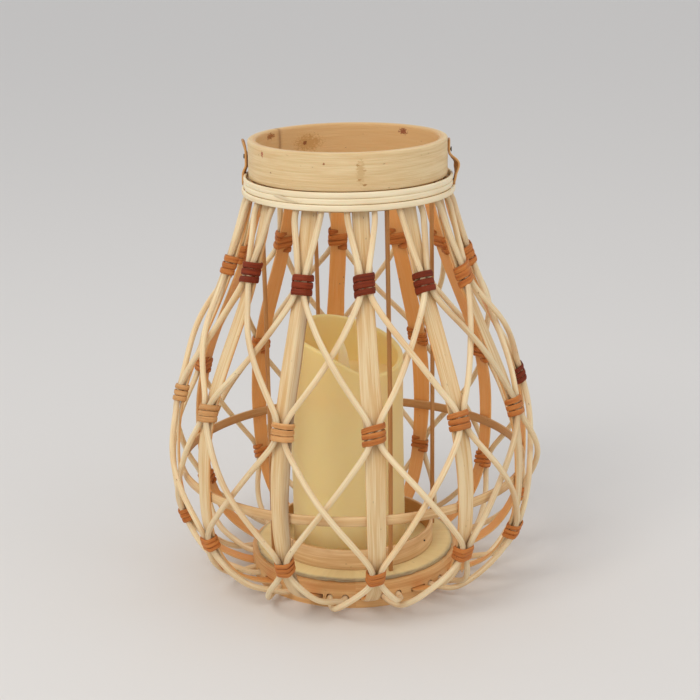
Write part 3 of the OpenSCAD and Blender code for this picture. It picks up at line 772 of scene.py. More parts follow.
@dataclass
class Slats(Assembly):
    """Twelve split bamboo slats, widest at the belly, each with a crowned skin side."""

    line: CageLine
    neck_width: float = 10.4
    belly_width: float = 12.4
    foot_width: float = 9.6
    crown: float = 0.28
    step: float = 1.5
    barked_slat: int = 11

    def width(self, s: Array) -> Array:
        """Width down the line: neck to belly to foot by two smooth steps."""
        belly = self.line.s_at(self.line.middle_tie_h)
        heel = self.line.s_at(self.line.heel_h)
        grown = self.neck_width + (self.belly_width - self.neck_width) * ease(s, 0, belly)
        return grown + (self.foot_width - grown) * ease(s, belly + 20, heel)

    def section(self) -> Array:
        """Half-width shares across and heights out: flat inside, crowned outside, round edges."""
        t = self.line.slat_t / 2
        across = np.array([1.0, 0.94, 0.55, 0.0, -0.55, -0.94, -1.0, -0.95, -0.5, 0.0, 0.5, 0.95])
        out = np.array([-0.1, t - self.crown - 0.25, t - self.crown * 0.3, t, t - self.crown * 0.3,
                        t - self.crown - 0.25, -0.1, -t, -t, -t, -t, -t])
        return np.stack([across, out], 1)

    def skin(self, i: int) -> Skin:
        """One slat: its section carried down the line, with a hand-split wander of both edges.

        Painted shade darkens each slat next to its ties and under the neck, and one slat keeps a strip of
        brown bark along its right edge.
        """
        rng = np.random.default_rng(100 + i)
        s = np.arange(0, self.line.length + 0.01, self.step)
        section = self.section()
        held = ease(s, 10, 40) * (1 - ease(s, self.line.length - 50, s[-1] - 20))
        drift = wander(rng, s, 38, 0.5) * held
        half = self.width(s) / 2 + wander(rng, s, 21, 0.22)
        lean = wander(rng, s, 60, 0.05)[:, None]
        side = section[None, :, 0] * half[:, None] + drift[:, None]
        out = section[None, :, 1] + lean * side * ease(s, 12, 30)[:, None]
        points = self.line.place(s[:, None], self.line.slat_turn(i), side, out)
        # painted shade and warm bounced light: the inner face and the sides take the deep tint
        inner = np.where(section[:, 1] < -0.5, 1.0, np.where(section[:, 1] < 0.2, 0.55, 0.0))
        # painted shade next to the ties and under the neck binding; on one slat the real bark strip is added
        shade_and_grime = self.line.near_ties(s, (i, i, i))[:, None] * 0.55
        if i == self.barked_slat:
            shade_and_grime = shade_and_grime + 0.9 * ease(section[:, 0], 0.2, 0.8) * ease(s, 40, 70)[:, None]
        return Skin(points, s, values=looks(inner[None], np.clip(shade_and_grime, 0, 1), rng.uniform(0.2, 0.8)))

    def build(self) -> None:
        """Makes the twelve slats."""
        for i in range(SLAT_COUNT):
            node = f"slat_{i + 1:02d}"
            self.settle(self.skin(i).build(f"split_{node}"), Finish.SLAT, node)


@dataclass
class Canes(Assembly):
    """Twenty-four rattan canes, two to a gap, that change sides between the rows of ties."""

    line: CageLine
    radius: float = 1.92
    side_lift: float = 1.1
    lift: float = 3.35
    tie_side: float = 2.06
    neck_side: float = 8.1
    tie_flat: float = 6.2
    over: float = 3.5
    under: float = 1.3
    low_over: float = 2.8
    low_under: float = 1.7
    hole_turns: tuple[float, float] = (17.0, 8.5)
    step: float = 1.6
    sides: int = 12
    bend_reach: float = 4.2
    free_reach: float = 30.0

    def keys(self, gap: int, first: bool) -> tuple[Array, Array]:
        """Ways down and turns from the left slat, at the ends of a cane's straight stretches.

        Args:
            gap: the gap between slats gap and gap + 1.
            first: the cane that starts beside the left slat.

        Returns:
            The ways and the turns.
        """
        line, end = self.line, self.line.length
        own, far = (gap, gap + 1) if first else (gap + 1, gap)
        span = line.slat_turn(gap + 1) - line.slat_turn(gap)

        def beside(mm: float, s: float, at_own: bool) -> float:
            """Turn at a distance in millimetres beside the own or the far slat."""
            turn = math.degrees(math.asin(mm / line.at(s)[0]))
            return turn if at_own == first else span - turn

        s1, s2, s3 = line.tie_s(0, own), line.tie_s(1, far), line.tie_s(2, own)
        neck = line.s_at(line.binding_low - 5)
        hole = self.hole_turns[0 if first else 1]
        rows = [(1, beside(self.neck_side, 1, True)), (neck, beside(self.neck_side, neck, True))]
        for s, at_own in ((s1, True), (s2, False), (s3, True)):
            turn = beside(self.tie_side, s, at_own)
            rows += [(s - self.tie_flat, turn), (s + self.tie_flat, turn)]
        rows += [(end - line.base_wall - 2, hole), (end, hole)]
        ways, turns = zip(*rows)
        return np.array(ways), np.array(turns)

    def lift_at(self, s: Array, ways: Array, first: bool) -> Array:
        """Distance outside the middle of the slats.

        It rises from beside the slats to on top of them below the binding, sinks to the line in
        the base ring, and where two canes cross one goes over and the other under, by bells
        sin(pi u^k) squared.
        """
        line = self.line
        on_slat = np.clip((s - line.s_at(line.binding_low)) / 6, 0, 1)
        foot = line.length - line.base_wall
        tuck = np.clip((s - ways[7]) / (foot - ways[7]), 0, 1) ** 6

        def bell(low: float, high: float, peak: float) -> Array:
            """One crossing's bell between two ways, highest at a share of the stretch."""
            u = np.clip((s - low) / (high - low), 0, 1)
            return np.sin(np.pi * u ** (math.log(0.5) / math.log(peak))) ** 2

        one, two = (self.over, -self.under) if first else (-self.under, self.over)
        low = -self.low_under if first else self.low_over
        return (self.side_lift * (1 - on_slat) + self.lift * on_slat * (1 - tuck)
                + one * bell(ways[3], ways[4], 0.5) + two * bell(ways[5], ways[6], 0.5)
                + low * bell(ways[7], ways[8], 0.76))

    def skin(self, gap: int, first: bool) -> Skin:
        """One cane: a round section, never quite even, carried down its bent way."""
        rng = np.random.default_rng(300 + 2 * gap + (0 if first else 1))
        ways, turns = self.keys(gap, first)
        s = np.linspace(1, self.line.length, int(self.line.length / self.step))
        step = s[1] - s[0]
        turn = soften(np.interp(s, ways, turns), step, self.bend_reach)
        out = soften(self.lift_at(s, ways, first), step, self.bend_reach * 0.55)
        ties = ways[2:8].reshape(3, 2).mean(1)
        free = np.clip(np.abs(s[:, None] - ties).min(1) / self.free_reach, 0, 1)
        loose = free ** 1.5 * (1 - ease(s, s[-1] - 30, s[-1] - 12)) * ease(s, 20, 45)
        centre = self.line.place(s, self.line.slat_turn(gap) + turn, wander(rng, s, 44, 0.7) * loose,
                                 out + wander(rng, s, 50, 0.25) * loose)
        way = unit(np.gradient(centre, axis=0))
        normal = self.line.out(s)
        outward = turned(normal[:, 0], self.line.slat_turn(gap) + turn, normal[:, 1])
        across = unit(np.cross(way, outward))
        lifted = unit(np.cross(across, way))
        angle = -np.pi / 2 + np.linspace(0, 2 * np.pi, self.sides, endpoint=False)
        size = self.radius * (1 + wander(rng, s, 26, 0.045) - 0.03)
        ring = np.stack([np.cos(angle), np.sin(angle)], 1)[None] * size[:, None, None]
        own, far = (gap, gap + 1) if first else (gap + 1, gap)
        # painted shade where the canes pass beside and under the ties
        shade_and_grime = self.line.near_ties(s, (own, far, own), 3.0)[:, None] * 0.45
        tone = rng.uniform(0.15, 0.95)
        return Skin(carry(centre, across, lifted, ring), s, values=looks(rng.uniform(0, 0.12), shade_and_grime, tone))

    def build(self) -> None:
        """Makes the canes."""
        for k in range(2 * SLAT_COUNT):
            node = f"cane_{k + 1:02d}"
            self.settle(self.skin(k // 2, k % 2 == 0).build(f"rattan_{node}", 60), Finish.CANE, node)


@dataclass
class Ties(Assembly):
    """Thirty-six lashings of rattan peel, three rounds each, round a slat and its two canes."""

    line: CageLine
    slats: Slats
    canes: Canes
    rounds: float = 3.0
    thick: float = 1.3
    clear: float = 0.6
    strand_widths: tuple[float, float, float] = (4.0, 3.3, 2.8)
    pitches: tuple[float, float, float] = (4.4, 3.75, 3.05)
    most_lean: float = 0.16
    tuck_rounds: float = 0.12
    look_ahead: float = 0.6
    rows_per_round: int = 44
    row_names: tuple[str, ...] = ("upper", "middle", "lower")
    dark: tuple[tuple[int, int], ...] = ((0, 10), (0, 11), (0, 0), (0, 1), (1, 3))
    light: tuple[tuple[int, int], ...] = ((1, 9), (1, 10), (1, 11))

    def outline(self, s: float) -> Array:
        """The hull round slat and canes, where the peel's own middle lies: [side, out]."""
        half = float(self.slats.width(np.array(s))) / 2 + 0.35
        low = -self.line.slat_t / 2 - self.clear
        top = self.canes.lift + self.canes.radius + self.clear
        shoulder = self.canes.tie_side + self.canes.radius + 0.3
        right = np.array([(half, low), (half + 0.15, 1.2), (shoulder, top - 0.9), (shoulder - 1.4, top)])
        corners = np.vstack([[(0.0, low)], right, (right * [-1, 1])[::-1]])
        radii = np.array([0.0, 0.75, 0.9, 0.8, 0.8, 0.8, 0.8, 0.9, 0.75])
        return rounded_loop(corners, radii, 3)

    def skin(self, row: int, i: int) -> Skin:
        """One lashing: a peel section carried three times round the outline while it climbs."""
        rng = np.random.default_rng(500 + 40 * row + i)
        s0 = self.line.tie_s(row, i)
        loop = self.outline(s0)
        closed = np.vstack([loop, loop[:1]])
        length = travelled(closed)

        def on_loop(ways: Array) -> Array:
            """Spots on the closed outline at ways along it."""
            return np.stack([np.interp(ways, length, closed[:, k]) for k in (0, 1)], 1)

        travel = np.linspace(0, self.rounds, int(self.rows_per_round * self.rounds) + 1)
        where = (travel % 1) * length[-1]
        spot = on_loop(where)
        ahead, behind = (on_loop((where + step) % length[-1])
                         for step in (self.look_ahead, -self.look_ahead))
        way = unit(ahead - behind)
        normal = np.stack([way[:, 1], -way[:, 0]], 1)
        lean = rng.uniform(-self.most_lean, self.most_lean)
        reel = travel * 20 + 0.01
        climb = (travel - self.rounds / 2) * self.pitches[row]
        along = climb + spot[:, 0] * lean + wander(rng, reel, 9, 0.28)
        lifted = wander(rng, reel, 7, 0.14)
        twist = wander(rng, reel, 10, 0.16)
        tuck = (ease(travel, 0, self.tuck_rounds)
                * ease(-travel, -self.rounds, self.tuck_rounds - self.rounds))
        half_w = self.strand_widths[row] / 2 * (0.55 + 0.45 * tuck) * (1 + wander(rng, reel, 8, 0.08))
        section = round_section(2, 2, 0.8, 4)
        section[:, 1] *= np.where(section[:, 1] > 0, 1.0, 0.8)
        profile = sized(section, half_w, self.thick / 2 * (0.4 + 0.6 * tuck))
        raised = profile[..., 1] + (lifted - (1 - tuck) * 0.5)[:, None] + twist[:, None] * profile[..., 0]
        side, out = (spot[:, None, k] + normal[:, None, k] * raised for k in (0, 1))
        points = self.line.place(s0 + along[:, None] + profile[..., 0], self.line.slat_turn(i), side, out)
        # darker where the peel's ends thin out and tuck under
        end_darkening = 0.35 * (1 - tuck)[:, None]
        return Skin(points, travel * length[-1], values=looks(0.0, end_darkening, rng.uniform(0.1, 0.9)))

    def finish_of(self, row: int, i: int) -> Finish:
        """The peel's colour: three batches, dark, mid and light, used as they came to hand."""
        if (row, i) in self.dark:
            return Finish.TIE_DARK
        return Finish.TIE_LIGHT if (row, i) in self.light else Finish.TIE_MID

    def build(self) -> None:
        """Makes the lashings row by row."""
        for row, name in enumerate(self.row_names):
            for i in range(SLAT_COUNT):
                piece = self.skin(row, i).build(f"{name}_tie_{i + 1:02d}", 60)
                self.settle(piece, self.finish_of(row, i), f"{name}_ties")


@dataclass
class TieTails(Assembly):
    """Two loose ends of peel that stick out below their lashings, cut to a point."""

    line: CageLine
    tails: tuple[tuple[int, float, float, float], ...] = ((10, 1.5, 19.0, 5.0), (1, -1.0, 15.0, 2.0))

    def skin(self, i: int, side: float, length: float, swing: float) -> Skin:
        """A blade: width w sin(pi u^0.6) that leaves the cage line as its way goes down."""
        s0 = self.line.tie_s(2, i)
        u = np.linspace(0, 1, 24)
        centre = self.line.place(s0 + 2 + u * length * 0.85, self.line.slat_turn(i) + 0 * u,
                                 side + swing * u ** 1.5, 2.2 + 3.0 * u ** 1.6 + 1.0 * np.sin(np.pi * u))
        way = unit(np.gradient(centre, axis=0))
        around = directions(self.line.slat_turn(i))[1]
        across = unit(around - way * (way @ around)[:, None])
        width = 1.5 * np.sin(np.pi * np.clip(u, 0.02, 0.985) ** 0.6) + 0.12
        profile = sized(round_section(2, 2, 0.7, 3), width, 0.32)
        return Skin(carry(centre, across, unit(np.cross(across, way)), profile), u * length,
                    values=looks(tone=0.7))

    def build(self) -> None:
        """Makes both tails."""
        for k, (i, side, length, swing) in enumerate(self.tails):
            finish = Finish.TIE_MID if k == 0 else Finish.TIE_LIGHT
            self.settle(self.skin(i, side, length, swing).build(f"tie_tail_{k + 1}", 60), finish)


# ---------------------------------------------------------------- rings, rods and board


@dataclass
class LappedRing(Assembly):
    """A bent bamboo band whose outer end lies on its inner one, in a long scarf."""

    name: str
    finish: Finish
    corners: Array
    radii: Array
    lap_turn: float = 180.0
    lap_step: float = 0.5
    lap_length: float = 40.0
    seam_gap: float = 0.3
    uneven: float = 0.15
    wear: float = 3.0
    steps: int = 216
    seed: int = 1

    def skin(self) -> Skin:
        """The outline carried round: its radius falls from the lap's step to zero over its length.

        Painted shade darkens the band within the shade reach of its lower edge, the scarf seam is a dark
        joint, and the inner face counts as inner, with painted shade as its deep tint.
        """
        rng = np.random.default_rng(self.seed)
        loop = filled(rounded_loop(self.corners, self.radii))
        sweep = np.append(np.linspace(0, 360, self.steps, endpoint=False), 360 - self.seam_gap)
        waves = sum(rng.uniform(-1, 1) * np.sin(np.radians(sweep * k + rng.uniform(0, 360))) / k
                    for k in (2, 3, 5))
        drift = self.lap_step * (1 - ease(sweep, 0, self.lap_length)) + self.uneven * waves
        turn = self.lap_turn + sweep
        points = turned(loop[None, :, 0] + drift[:, None], turn[:, None], loop[None, :, 1])
        low, middle = loop[:, 1].min(), (loop[:, 0].min() + loop[:, 0].max()) / 2
        # painted shade: the inner face of the band takes the deep tint
        inner = ease(middle - loop[:, 0], -0.8, 1.5)
        # painted shade along the band's lower edge, where it meets the part below
        shade_and_grime = 0.5 * np.exp(-(loop[:, 1] - low) / self.wear)
        seam = np.exp(-0.5 * ((sweep - 360 * (sweep > 180)) / 0.9) ** 2)
        length = np.radians(turn - (360 if self.lap_turn >= 180 else 0)) * loop[:, 0].max()
        shade_and_wear = np.clip(shade_and_grime[None] + 0.7 * seam[:, None], 0, 1)
        return Skin(points, length, True, looks(inner[None], shade_and_wear, rng.uniform(0.4, 0.6)))

    def build(self) -> None:
        """Makes the ring in place of its node."""
        self.settle(self.skin().build(f"bent_{self.name}"), self.finish, self.name)


def collar_ring(line: CageLine) -> LappedRing:
    """The broad collar: a soft rim, and below it the rebate that the binding lies in."""
    low, high = box_mm("collar")
    outer, top = high[0], high[2]
    mouth = outer - 5.3
    corners = np.array([(outer, line.binding_high), (outer, top), (mouth, top), (mouth, low[2]),
                        (outer - line.neck_rebate, low[2]), (outer - line.neck_rebate, line.binding_high)])
    return LappedRing("collar", Finish.COLLAR, corners, np.array([0.5, 1.3, 1.6, 0.8, 0.4, 0.3]),
                      lap_turn=230.0, lap_step=0.22, lap_length=30.0, uneven=0.12, seed=11)


def flat_ring(name: str, finish: Finish, wall: float, **options: float) -> LappedRing:
    """A plain band with the outside and height of its node."""
    low, high = box_mm(name)
    outer = high[1] - options.get("lap_step", 0.0) * 0.5
    inner, bottom, top = outer - wall, low[2], high[2]
    corners = np.array([(outer, bottom), (outer, top), (inner, top), (inner, bottom)])
    return LappedRing(name, finish, corners, np.full(4, 0.6), **options)


@dataclass
class Binding(Assembly):
    """One long strip of pale rattan wound three times round the neck."""

    line: CageLine
    strip_h: float = 3.66
    strip_t: float = 1.9
    rounds: int = 3
    step_turn: float = 158.0
    step_span: float = 24.0
    pitch: float = 3.7
    grain_r: float = 66.0
    proud: float = 1.35
    tail_turns: tuple[float, float] = (-43.0, -27.0)

    def skin(self) -> Skin:
        """A rounded strip whose height steps up one strip in the same short span of every turn."""
        rng = np.random.default_rng(21)
        inner = box_mm("neck_binding")[1][0] - self.strip_t - self.proud
        travel = np.linspace(0, self.rounds * 360 + self.step_span, 200 * self.rounds)
        lap = np.floor(travel / 360)
        level = lap - 1 + ease(travel - lap * 360, 0, self.step_span)
        start = ease(travel, 0, self.step_span)
        end = 1 - ease(travel, self.rounds * 360, self.rounds * 360 + self.step_span)
        level = np.clip(level, -0.55, self.rounds - 0.62)
        height = self.line.binding_low + (level + 0.5) * self.pitch
        proud = self.proud * np.clip(1 - level, 0, 1)
        out = inner + self.strip_t / 2 + proud + wander(rng, travel, 55, 0.12)
        tall = self.strip_h / 2 * (0.25 + 0.75 * np.minimum(start, end))
        profile = sized(round_section(2, 2, 0.75, 4), self.strip_t / 2, tall)
        turn = self.step_turn + travel
        points = turned(out[:, None] + profile[..., 0], turn[:, None],
                        (height + wander(rng, travel, 40, 0.12))[:, None] + profile[..., 1])
        return Skin(points, np.radians(travel) * self.grain_r, values=looks(tone=0.6))

    def tail(self) -> Skin:
        """The strip's thin cut end: a blade that crosses the middle round from its top edge down.

        Its half height is 1.1 sin(pi u^0.7), and it lies on the round's own face.
        """
        u = np.linspace(0, 1, 32)
        turn = self.tail_turns[0] + (self.tail_turns[1] - self.tail_turns[0]) * u
        face = box_mm("neck_binding")[1][0] - self.proud + 0.12
        height = self.line.binding_low + self.strip_h * (2.05 - 0.75 * u)
        tall = 1.1 * np.sin(np.pi * np.clip(u, 0.03, 0.98) ** 0.7)
        profile = sized(round_section(2, 2, 0.7, 3), 0.3, tall)
        points = turned(face + profile[..., 0], turn[:, None], height[:, None] + profile[..., 1])
        return Skin(points, np.radians(turn) * face, values=looks(0.1, 0.15, 0.3))

    def build(self) -> None:
        """Winds the strip and lays its end."""
        self.settle(self.skin().build("wound_binding", 60), Finish.BINDING, "neck_binding")
        self.settle(self.tail().build("binding_end", 60), Finish.BINDING)


@dataclass
class Struts(Assembly):
    """Four thin square rods between board and collar, each a little bowed."""

    count: int = 4
    side: float = 2.4
    first_turn: float = 23.0
    middle_r: float = 58.3

    def skin(self, k: int) -> Skin:
        """A square section with soft edges carried up a line that bows by a slow wander."""
        rng = np.random.default_rng(41 + k)
        low, high = box_mm("struts")
        foot, top = low[2], high[2]
        z = np.linspace(foot, top, 60)
        bow = np.sin(np.pi * (z - foot) / (top - foot))
        out, around = directions(self.first_turn + k * 360 / self.count)
        away = self.middle_r + 0.5 * bow * rng.uniform(-1, 1)
        aside = bow * rng.uniform(-0.8, 0.8) + wander(rng, z - foot, 60, 0.2) * bow
        centre = out * away[:, None] + around * aside[:, None] + np.array([0, 0, 1]) * z[:, None]
        section = filled(round_section(self.side, self.side, 0.45, 2), 1.2)
        side, outward = (np.broadcast_to(way, centre.shape) for way in (around, out))
        # painted shade darkening the rods towards their feet on the board
        shade_and_grime = 0.4 * np.exp(-(z - foot) / 12)[:, None]
        return Skin(carry(centre, side, outward, section), z,
                    values=looks(0.25, shade_and_grime, rng.uniform(0.2, 0.8)))

    def build(self) -> None:
        """Makes the rods."""
        for k in range(self.count):
            self.settle(self.skin(k).build(f"strut_{k + 1}"), Finish.STRUT, "struts")


@dataclass
class Board(Assembly):
    """The round board on the base ring, with a rough sawn edge."""

    roughness: float = 0.28
    steps: int = 300

    def skin(self) -> Skin:
        """Rows run from the middle of the top over the torn rim to the middle of the underside."""
        rng = np.random.default_rng(51)
        low, high = box_mm("board")
        r, top, bottom = high[0] - 0.2, high[2], low[2]
        middle = (top + bottom) / 2
        profile = np.array([(1, top), (12, top), (30, top), (50, top), (r - 2.5, top), (r - 0.9, top),
                            (r - 0.25, top - 0.25), (r, middle + 0.6), (r, middle), (r, middle - 0.6),
                            (r - 0.3, bottom + 0.15), (r - 1, bottom), (50, bottom), (25, bottom),
                            (1, bottom)])
        turn = np.linspace(0, 360, self.steps, endpoint=False)
        rim = ease(profile[:, 0], r - 1.6, r)
        torn = rng.normal(0, 1, (len(profile), self.steps))
        torn = (torn + np.roll(torn, 1, 1)) / 2
        radius = profile[:, :1] + rim[:, None] * self.roughness * torn
        height = profile[:, 1:] + rim[:, None] * 0.35 * self.roughness * np.roll(torn, 5, 1)
        points = turned(radius, turn[None], np.clip(height, bottom, top))
        return Skin(points, np.arange(len(profile)) * 5.0, values=looks(shade_and_grime=rim[:, None] * 0.9))

    def build(self) -> None:
        """Makes the board in place of its node."""
        self.settle(self.skin().build("round_board", 50), Finish.BOARD, "board")


# ---------------------------------------------------------------- lugs, candle and flame


@dataclass
class Lug(Assembly):
    """A short bamboo strip that stands on the binding's lowest round and is nailed to the collar."""

    name: str
    turn: float
    knots: tuple[tuple[float, float], ...]
    width: float = 8.5
    thick: float = 1.5
    twist: float = -0.3
    twist_span: tuple[float, float, float, float] = (6.0, 12.0, 16.0, 22.0)

    def skin(self) -> Skin:
        """A rounded strip carried up a spline of [distance from the collar, height over the binding].

        It narrows a little at both ends, its inner face takes the deep colour as painted shade, it is darker
        towards both ends, and within the twist's span it turns about its own length by a smooth step up and
        another one down.
        """
        collar, binding = box_mm("collar")[1][0], box_mm("neck_binding")[1][2]
        knots = np.array(self.knots) + [collar, binding]
        line = CageLine.spline(knots, 10)
        centre = turned(line[:, 0], self.turn, line[:, 1])
        out, around = directions(self.turn)
        way = unit(np.gradient(centre, axis=0))
        length = travelled(centre)
        start, full, keep, end = self.twist_span
        lean = self.twist * ease(length, start, full) * (1 - ease(length, keep, end))
        side = unit(around * np.cos(lean)[:, None] + out * np.sin(lean)[:, None])
        normal = unit(np.cross(side, way))
        ends = np.minimum(length, length[-1] - length)
        narrowed = 0.86 + 0.14 * ease(ends, 0, 2.5)
        section = filled(round_section(self.width, self.thick, 0.5, 3), 1.5)
        profile = sized(section, narrowed, 1.0)
        outward = float(np.sign(normal[len(normal) // 2] @ out))
        # painted shade: the face towards the collar takes the deep colour
        inner = ease(-outward * section[:, 1], -0.3, 0.6)
        # darker towards both ends
        return Skin(carry(centre, side, normal, profile), length,
                    values=looks(inner[None] * 0.8, 0.6 * np.exp(-ends / 1.5)[:, None]))

    def build(self) -> None:
        """Bends the strip."""
        self.settle(self.skin().build(self.name), Finish.LUG, "lugs")


def lugs(line: CageLine) -> tuple[Lug, Lug]:
    """The right lug bulges into a loop; the left one leans off the collar at its top."""
    foot = line.binding_low + 3.75 - line.binding_high
    bulging = ((4.1, foot), (4.1, foot + 1.5), (4.7, foot + 4), (5.6, 3.0), (5.6, 6.5), (1.2, 12.0),
               (0.8, 14.5), (0.8, 21.0))
    leaning = ((4.1, foot), (4.1, foot + 4), (3.7, 1.0), (2.0, 5.0), (2.0, 10.5), (2.8, 15.75), (4.0, 21.0))
    return (Lug("right_lug", 88.0, bulging),
            Lug("left_lug", 263.0, leaning, twist_span=(15.0, 26.0, 90.0, 91.0)))


@dataclass
class Candle(Assembly):
    """The wax pillar with its hollow, wavy top, and the works inside it."""

    body: Body = field(default=Body.CANDLE, kw_only=True)
    wall: float = 3.6
    works_bore: float = 31.0
    works_top: float = 118.9
    pool_z: float = 132.9
    wick_r: float = 6.5
    rim_drop: float = 21.5
    low_turn: float = 34.0
    low_span: float = 50.0
    lip: float = 1.5
    rim_inset: float = 1.4
    roll: float = 1.2
    roll_turn: float = 162.0
    fall_power: float = 1.6
    steps: int = 256

    def rim(self, turn: Array, top: float) -> Array:
        """Height of the lip: a dip that falls as a bell on its left and cos(away / 2)^1.6 on its right."""
        away = (turn - self.low_turn + 180) % 360 - 180
        left = np.exp(-(away / self.low_span) ** 2)
        right = np.cos(np.radians(np.abs(away)) / 2) ** self.fall_power
        dip = self.rim_drop * np.where(away < 0, left, right)
        return top - self.rim_inset - dip + self.roll * np.cos(np.radians(turn + self.roll_turn))

    def skin(self) -> Skin:
        """A closed profile for every turn: outside, lip, hollow, floor, wick hole and works bore."""
        low, high = box_mm("candle_wax")
        centre, r = (low[:2] + high[:2]) / 2, (high[0] - low[0]) / 2
        turn = np.linspace(0, 360, self.steps, endpoint=False)
        rim = self.rim(turn, high[2])[:, None]
        foot, hollow, lip = low[2], r - self.wall, self.lip
        bend = np.linspace(0, np.pi, 9)
        share = np.linspace(0.012, 1, 26)[None]
        rise = foot + (rim - lip - foot) * share
        round_r = (r + hollow) / 2 + (r - hollow) / 2 * np.cos(bend)
        round_z = rim - lip + lip * np.sin(bend)[None]
        down = np.linspace(1, 0, 9)[1:]
        pit_z = self.pool_z + 1.8 + (rim - lip - self.pool_z - 1.8) * down[None]
        pool, wick, bore, roof = self.pool_z, self.wick_r, self.works_bore, self.works_top
        floor = np.array([(hollow - 0.5, pool + 0.5), (hollow - 1.8, pool), (24, pool - 0.05),
                          (14, pool - 0.1), (wick + 0.6, pool - 0.1), (wick, pool - 0.6),
                          (wick, roof + 6), (wick, roof), (18, roof), (bore, roof), (bore, 90),
                          (bore, 55), (bore, foot + 0.4),
                          (bore + 0.4, foot), (r - 1.0, foot), (r - 0.3, foot + 0.3)])
        ones = np.ones((self.steps, 1))
        radius = np.hstack([ones * np.full(share.size, r), ones * round_r, ones * np.full(down.size, hollow),
                            ones * floor[:, 0]])
        height = np.hstack([rise, round_z, pit_z, ones * floor[None, :, 1]])
        t = turn[:, None]
        swell = (0.18 * np.sin(np.radians(3 * t) + height / 31)
                 + 0.12 * np.sin(np.radians(5 * t) - height / 17))
        radius = radius - np.where(radius > hollow - 0.01, 0.3 + swell * (radius > hollow + 0.2), 0)
        points = turned(radius, t, height) + np.array([*centre, 0])
        return Skin(points, np.radians(turn) * r, closed_rows=True)

    def build(self) -> None:
        """Pours the pillar and dresses the works."""
        self.settle(self.skin().build("wax_pillar", 50), Finish.WAX, "candle_wax")
        for node, finish in (("candle_cup", Finish.CUP), ("battery_cover", Finish.CUP),
                             ("cover_screw", Finish.SCREW), ("batteries", Finish.BATTERY),
                             ("battery_contacts", Finish.CONTACT), ("circuit_board", Finish.CIRCUIT),
                             ("drive_coil", Finish.COIL), ("led", Finish.LED),
                             ("switch_slider", Finish.SWITCH)):
            self.dress(node, finish)


@dataclass
class Flame(Assembly):
    """The moulded flame that rocks on its pin above the wax."""

    body: Body = field(default=Body.FLAME, kw_only=True)
    pivot: tuple[float, float, float] = (-3.5, 0.0, 124.8)
    lean: float = 5.0
    rise: float = 36.1
    tail: float = 13.0
    half: float = 3.7
    stem_half: float = 1.9
    stem_t: float = 1.2
    belly_t: float = 3.4

    def skin(self) -> Skin:
        """A teardrop: half width stem + (half - stem) sin(pi u^0.8)^1.2 - 1.75 u^4 above the pin."""
        z = np.concatenate([np.linspace(-self.tail, 0, 8, endpoint=False), self.rise * np.sin(
            np.linspace(0, np.pi / 2, 40))])
        u = np.clip(z / self.rise, 0, 0.999)
        width = (self.stem_half + (self.half - self.stem_half) * np.sin(np.pi * u ** 0.8) ** 1.2
                 - (self.stem_half - 0.15) * u ** 4)
        thick = (self.stem_t / 2 + (self.belly_t - self.stem_t) / 2 * ease(u, 0.22, 0.45)
                 - self.belly_t * 0.42 * u ** 3)
        angle = np.linspace(0, 2 * np.pi, 28, endpoint=False)
        shape = np.stack([np.cos(angle), np.sin(angle)], 1)
        x = shape[None, :, 0] * width[:, None]
        y = shape[None, :, 1] * np.maximum(thick, 0.12)[:, None]
        a = math.radians(self.lean)
        points = np.stack([x * math.cos(a) - z[:, None] * math.sin(a), y,
                           x * math.sin(a) + z[:, None] * math.cos(a)], -1) + np.array(self.pivot)
        return Skin(points, z + self.tail)

    def build(self) -> None:
        """Makes the flame and dresses its magnet."""
        self.settle(self.skin().build("flame_leaf", 60), Finish.FLAME, "flame")
        self.dress("flame_magnet", Finish.MAGNET)


@dataclass
class Fittings(Assembly):
    """The base ring and the nails, whose shapes the frame already holds."""

    def build(self) -> None:
        """Dresses both."""
        self.dress("base_ring", Finish.BASE)
        self.dress("nails", Finish.NAIL)


# ---------------------------------------------------------------- studio


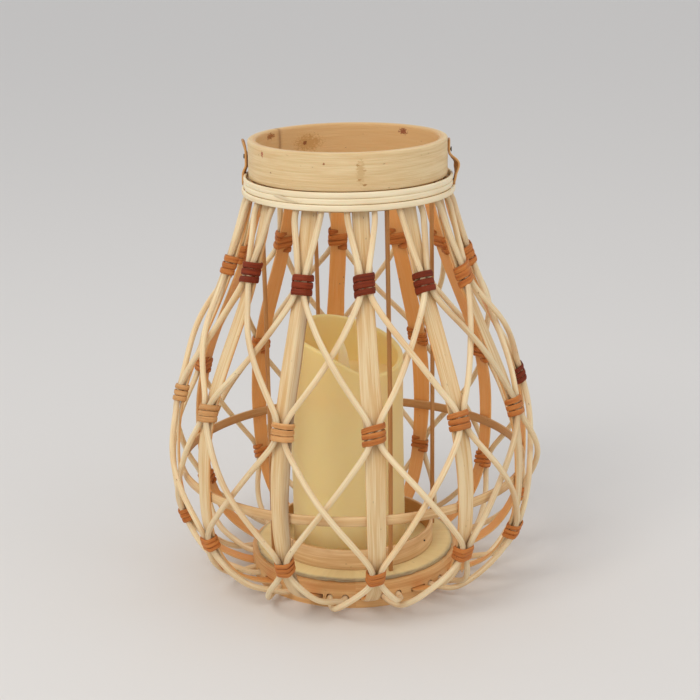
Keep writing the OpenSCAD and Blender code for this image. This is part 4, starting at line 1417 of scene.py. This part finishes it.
@dataclass
class Studio:
    """Pale floor, soft lights and the camera. None of it is part of the lantern."""

    floor_tint: Rgb = (226, 222, 217)
    reach: float = 12.0
    sky_tint: Rgb = (246, 248, 252)
    sky_strength: float = 0.74
    lens: float = 78.86
    camera_at: tuple[float, float, float] = (0.0, -0.9553, 0.4397)
    pitch: float = 16.83
    yaw: float = -0.05
    roll: float = -1.05

    def floor(self) -> None:
        """A square sheet that reaches past every view's horizon."""
        corners = [(-1, -1), (1, -1), (1, 1), (-1, 1)]
        points = [(x * self.reach, y * self.reach, 0.0) for x, y in corners]
        mesh = bpy.data.meshes.new("floor")
        mesh.from_pydata(points, [], [(0, 1, 2, 3)])
        made = bpy.data.materials.new("studio_paper")
        made.use_nodes = True
        paper = made.node_tree.nodes["Principled BSDF"].inputs
        paper["Base Color"].default_value = colour(self.floor_tint)
        paper["Roughness"].default_value = 0.85
        mesh.materials.append(made)
        sheet = bpy.data.objects.new("floor", mesh)
        bpy.context.scene.collection.objects.link(sheet)

    @staticmethod
    def lamp(name: str, at: tuple[float, float, float], size: float, power: float, tint: Rgb) -> None:
        """A square soft light aimed at the lantern's middle."""
        data = bpy.data.lights.new(name, "AREA")
        data.size, data.energy, data.color = size, power, tuple(colour(tint)[:3])
        lamp = bpy.data.objects.new(name, data)
        lamp.location = at
        aim = Vector((0.0, 0.0, 0.14)) - lamp.location
        lamp.rotation_euler = aim.to_track_quat("-Z", "Y").to_euler()
        bpy.context.scene.collection.objects.link(lamp)

    def lights(self) -> None:
        """A broad key from the upper left, a weaker fill from the right, and a pale sky."""
        self.lamp("key_light", (-0.9, -1.1, 1.7), 0.9, 14.5, (255, 253, 249))
        self.lamp("fill_light", (1.5, -0.9, 1.0), 1.6, 4.5, (251, 252, 255))
        world = bpy.data.worlds.new("sky")
        world.use_nodes = True
        sky = world.node_tree.nodes["Background"].inputs
        sky["Color"].default_value = colour(self.sky_tint)
        sky["Strength"].default_value = self.sky_strength
        bpy.context.scene.world = world
        bpy.context.scene.view_settings.view_transform = "Standard"

    def camera(self) -> None:
        """Turns the camera's own axes by yaw, pitch and roll, as three unit vectors."""
        pitch, yaw, roll = (math.radians(a) for a in (self.pitch, self.yaw, self.roll))
        ahead = np.array([math.sin(yaw) * math.cos(pitch), math.cos(yaw) * math.cos(pitch),
                          -math.sin(pitch)])
        right = np.array([math.cos(yaw), -math.sin(yaw), 0.0])
        up = np.cross(right, ahead)
        rolled_right = right * math.cos(roll) + up * math.sin(roll)
        rolled_up = up * math.cos(roll) - right * math.sin(roll)
        data = bpy.data.cameras.new("camera")
        data.lens, data.sensor_width = self.lens, 36.0
        data.clip_start, data.clip_end = 0.01, 20.0
        camera = bpy.data.objects.new("camera", data)
        turn = Matrix(np.stack([rolled_right, rolled_up, -ahead], 1).tolist()).to_4x4()
        camera.matrix_world = Matrix.Translation(self.camera_at) @ turn
        bpy.context.scene.collection.objects.link(camera)
        bpy.context.scene.camera = camera

    def build(self) -> None:
        """Sets the camera, the floor and the lights."""
        self.camera()
        self.floor()
        self.lights()


def main() -> None:
    logging.basicConfig(level=logging.INFO, format="%(name)s: %(message)s", stream=sys.stdout)
    line = CageLine()
    slats, canes = Slats(line), Canes(line)
    Studio().build()
    for part in (
            collar_ring(line), Binding(line), slats, canes, Ties(line, slats, canes), TieTails(line),
            flat_ring("belly_hoop", Finish.HOOP, 2.0, lap_turn=200.0, lap_step=0.5, uneven=0.2,
                      wear=1.0, seed=31),
            Struts(), Board(),
            flat_ring("candle_hoop", Finish.HOOP, 2.2, lap_turn=310.0, lap_step=0.6, uneven=0.25,
                      wear=2.0, seed=32),
            Fittings(), *lugs(line), Candle(), Flame()):
        part.build()


if __name__ == "__main__":
    main()
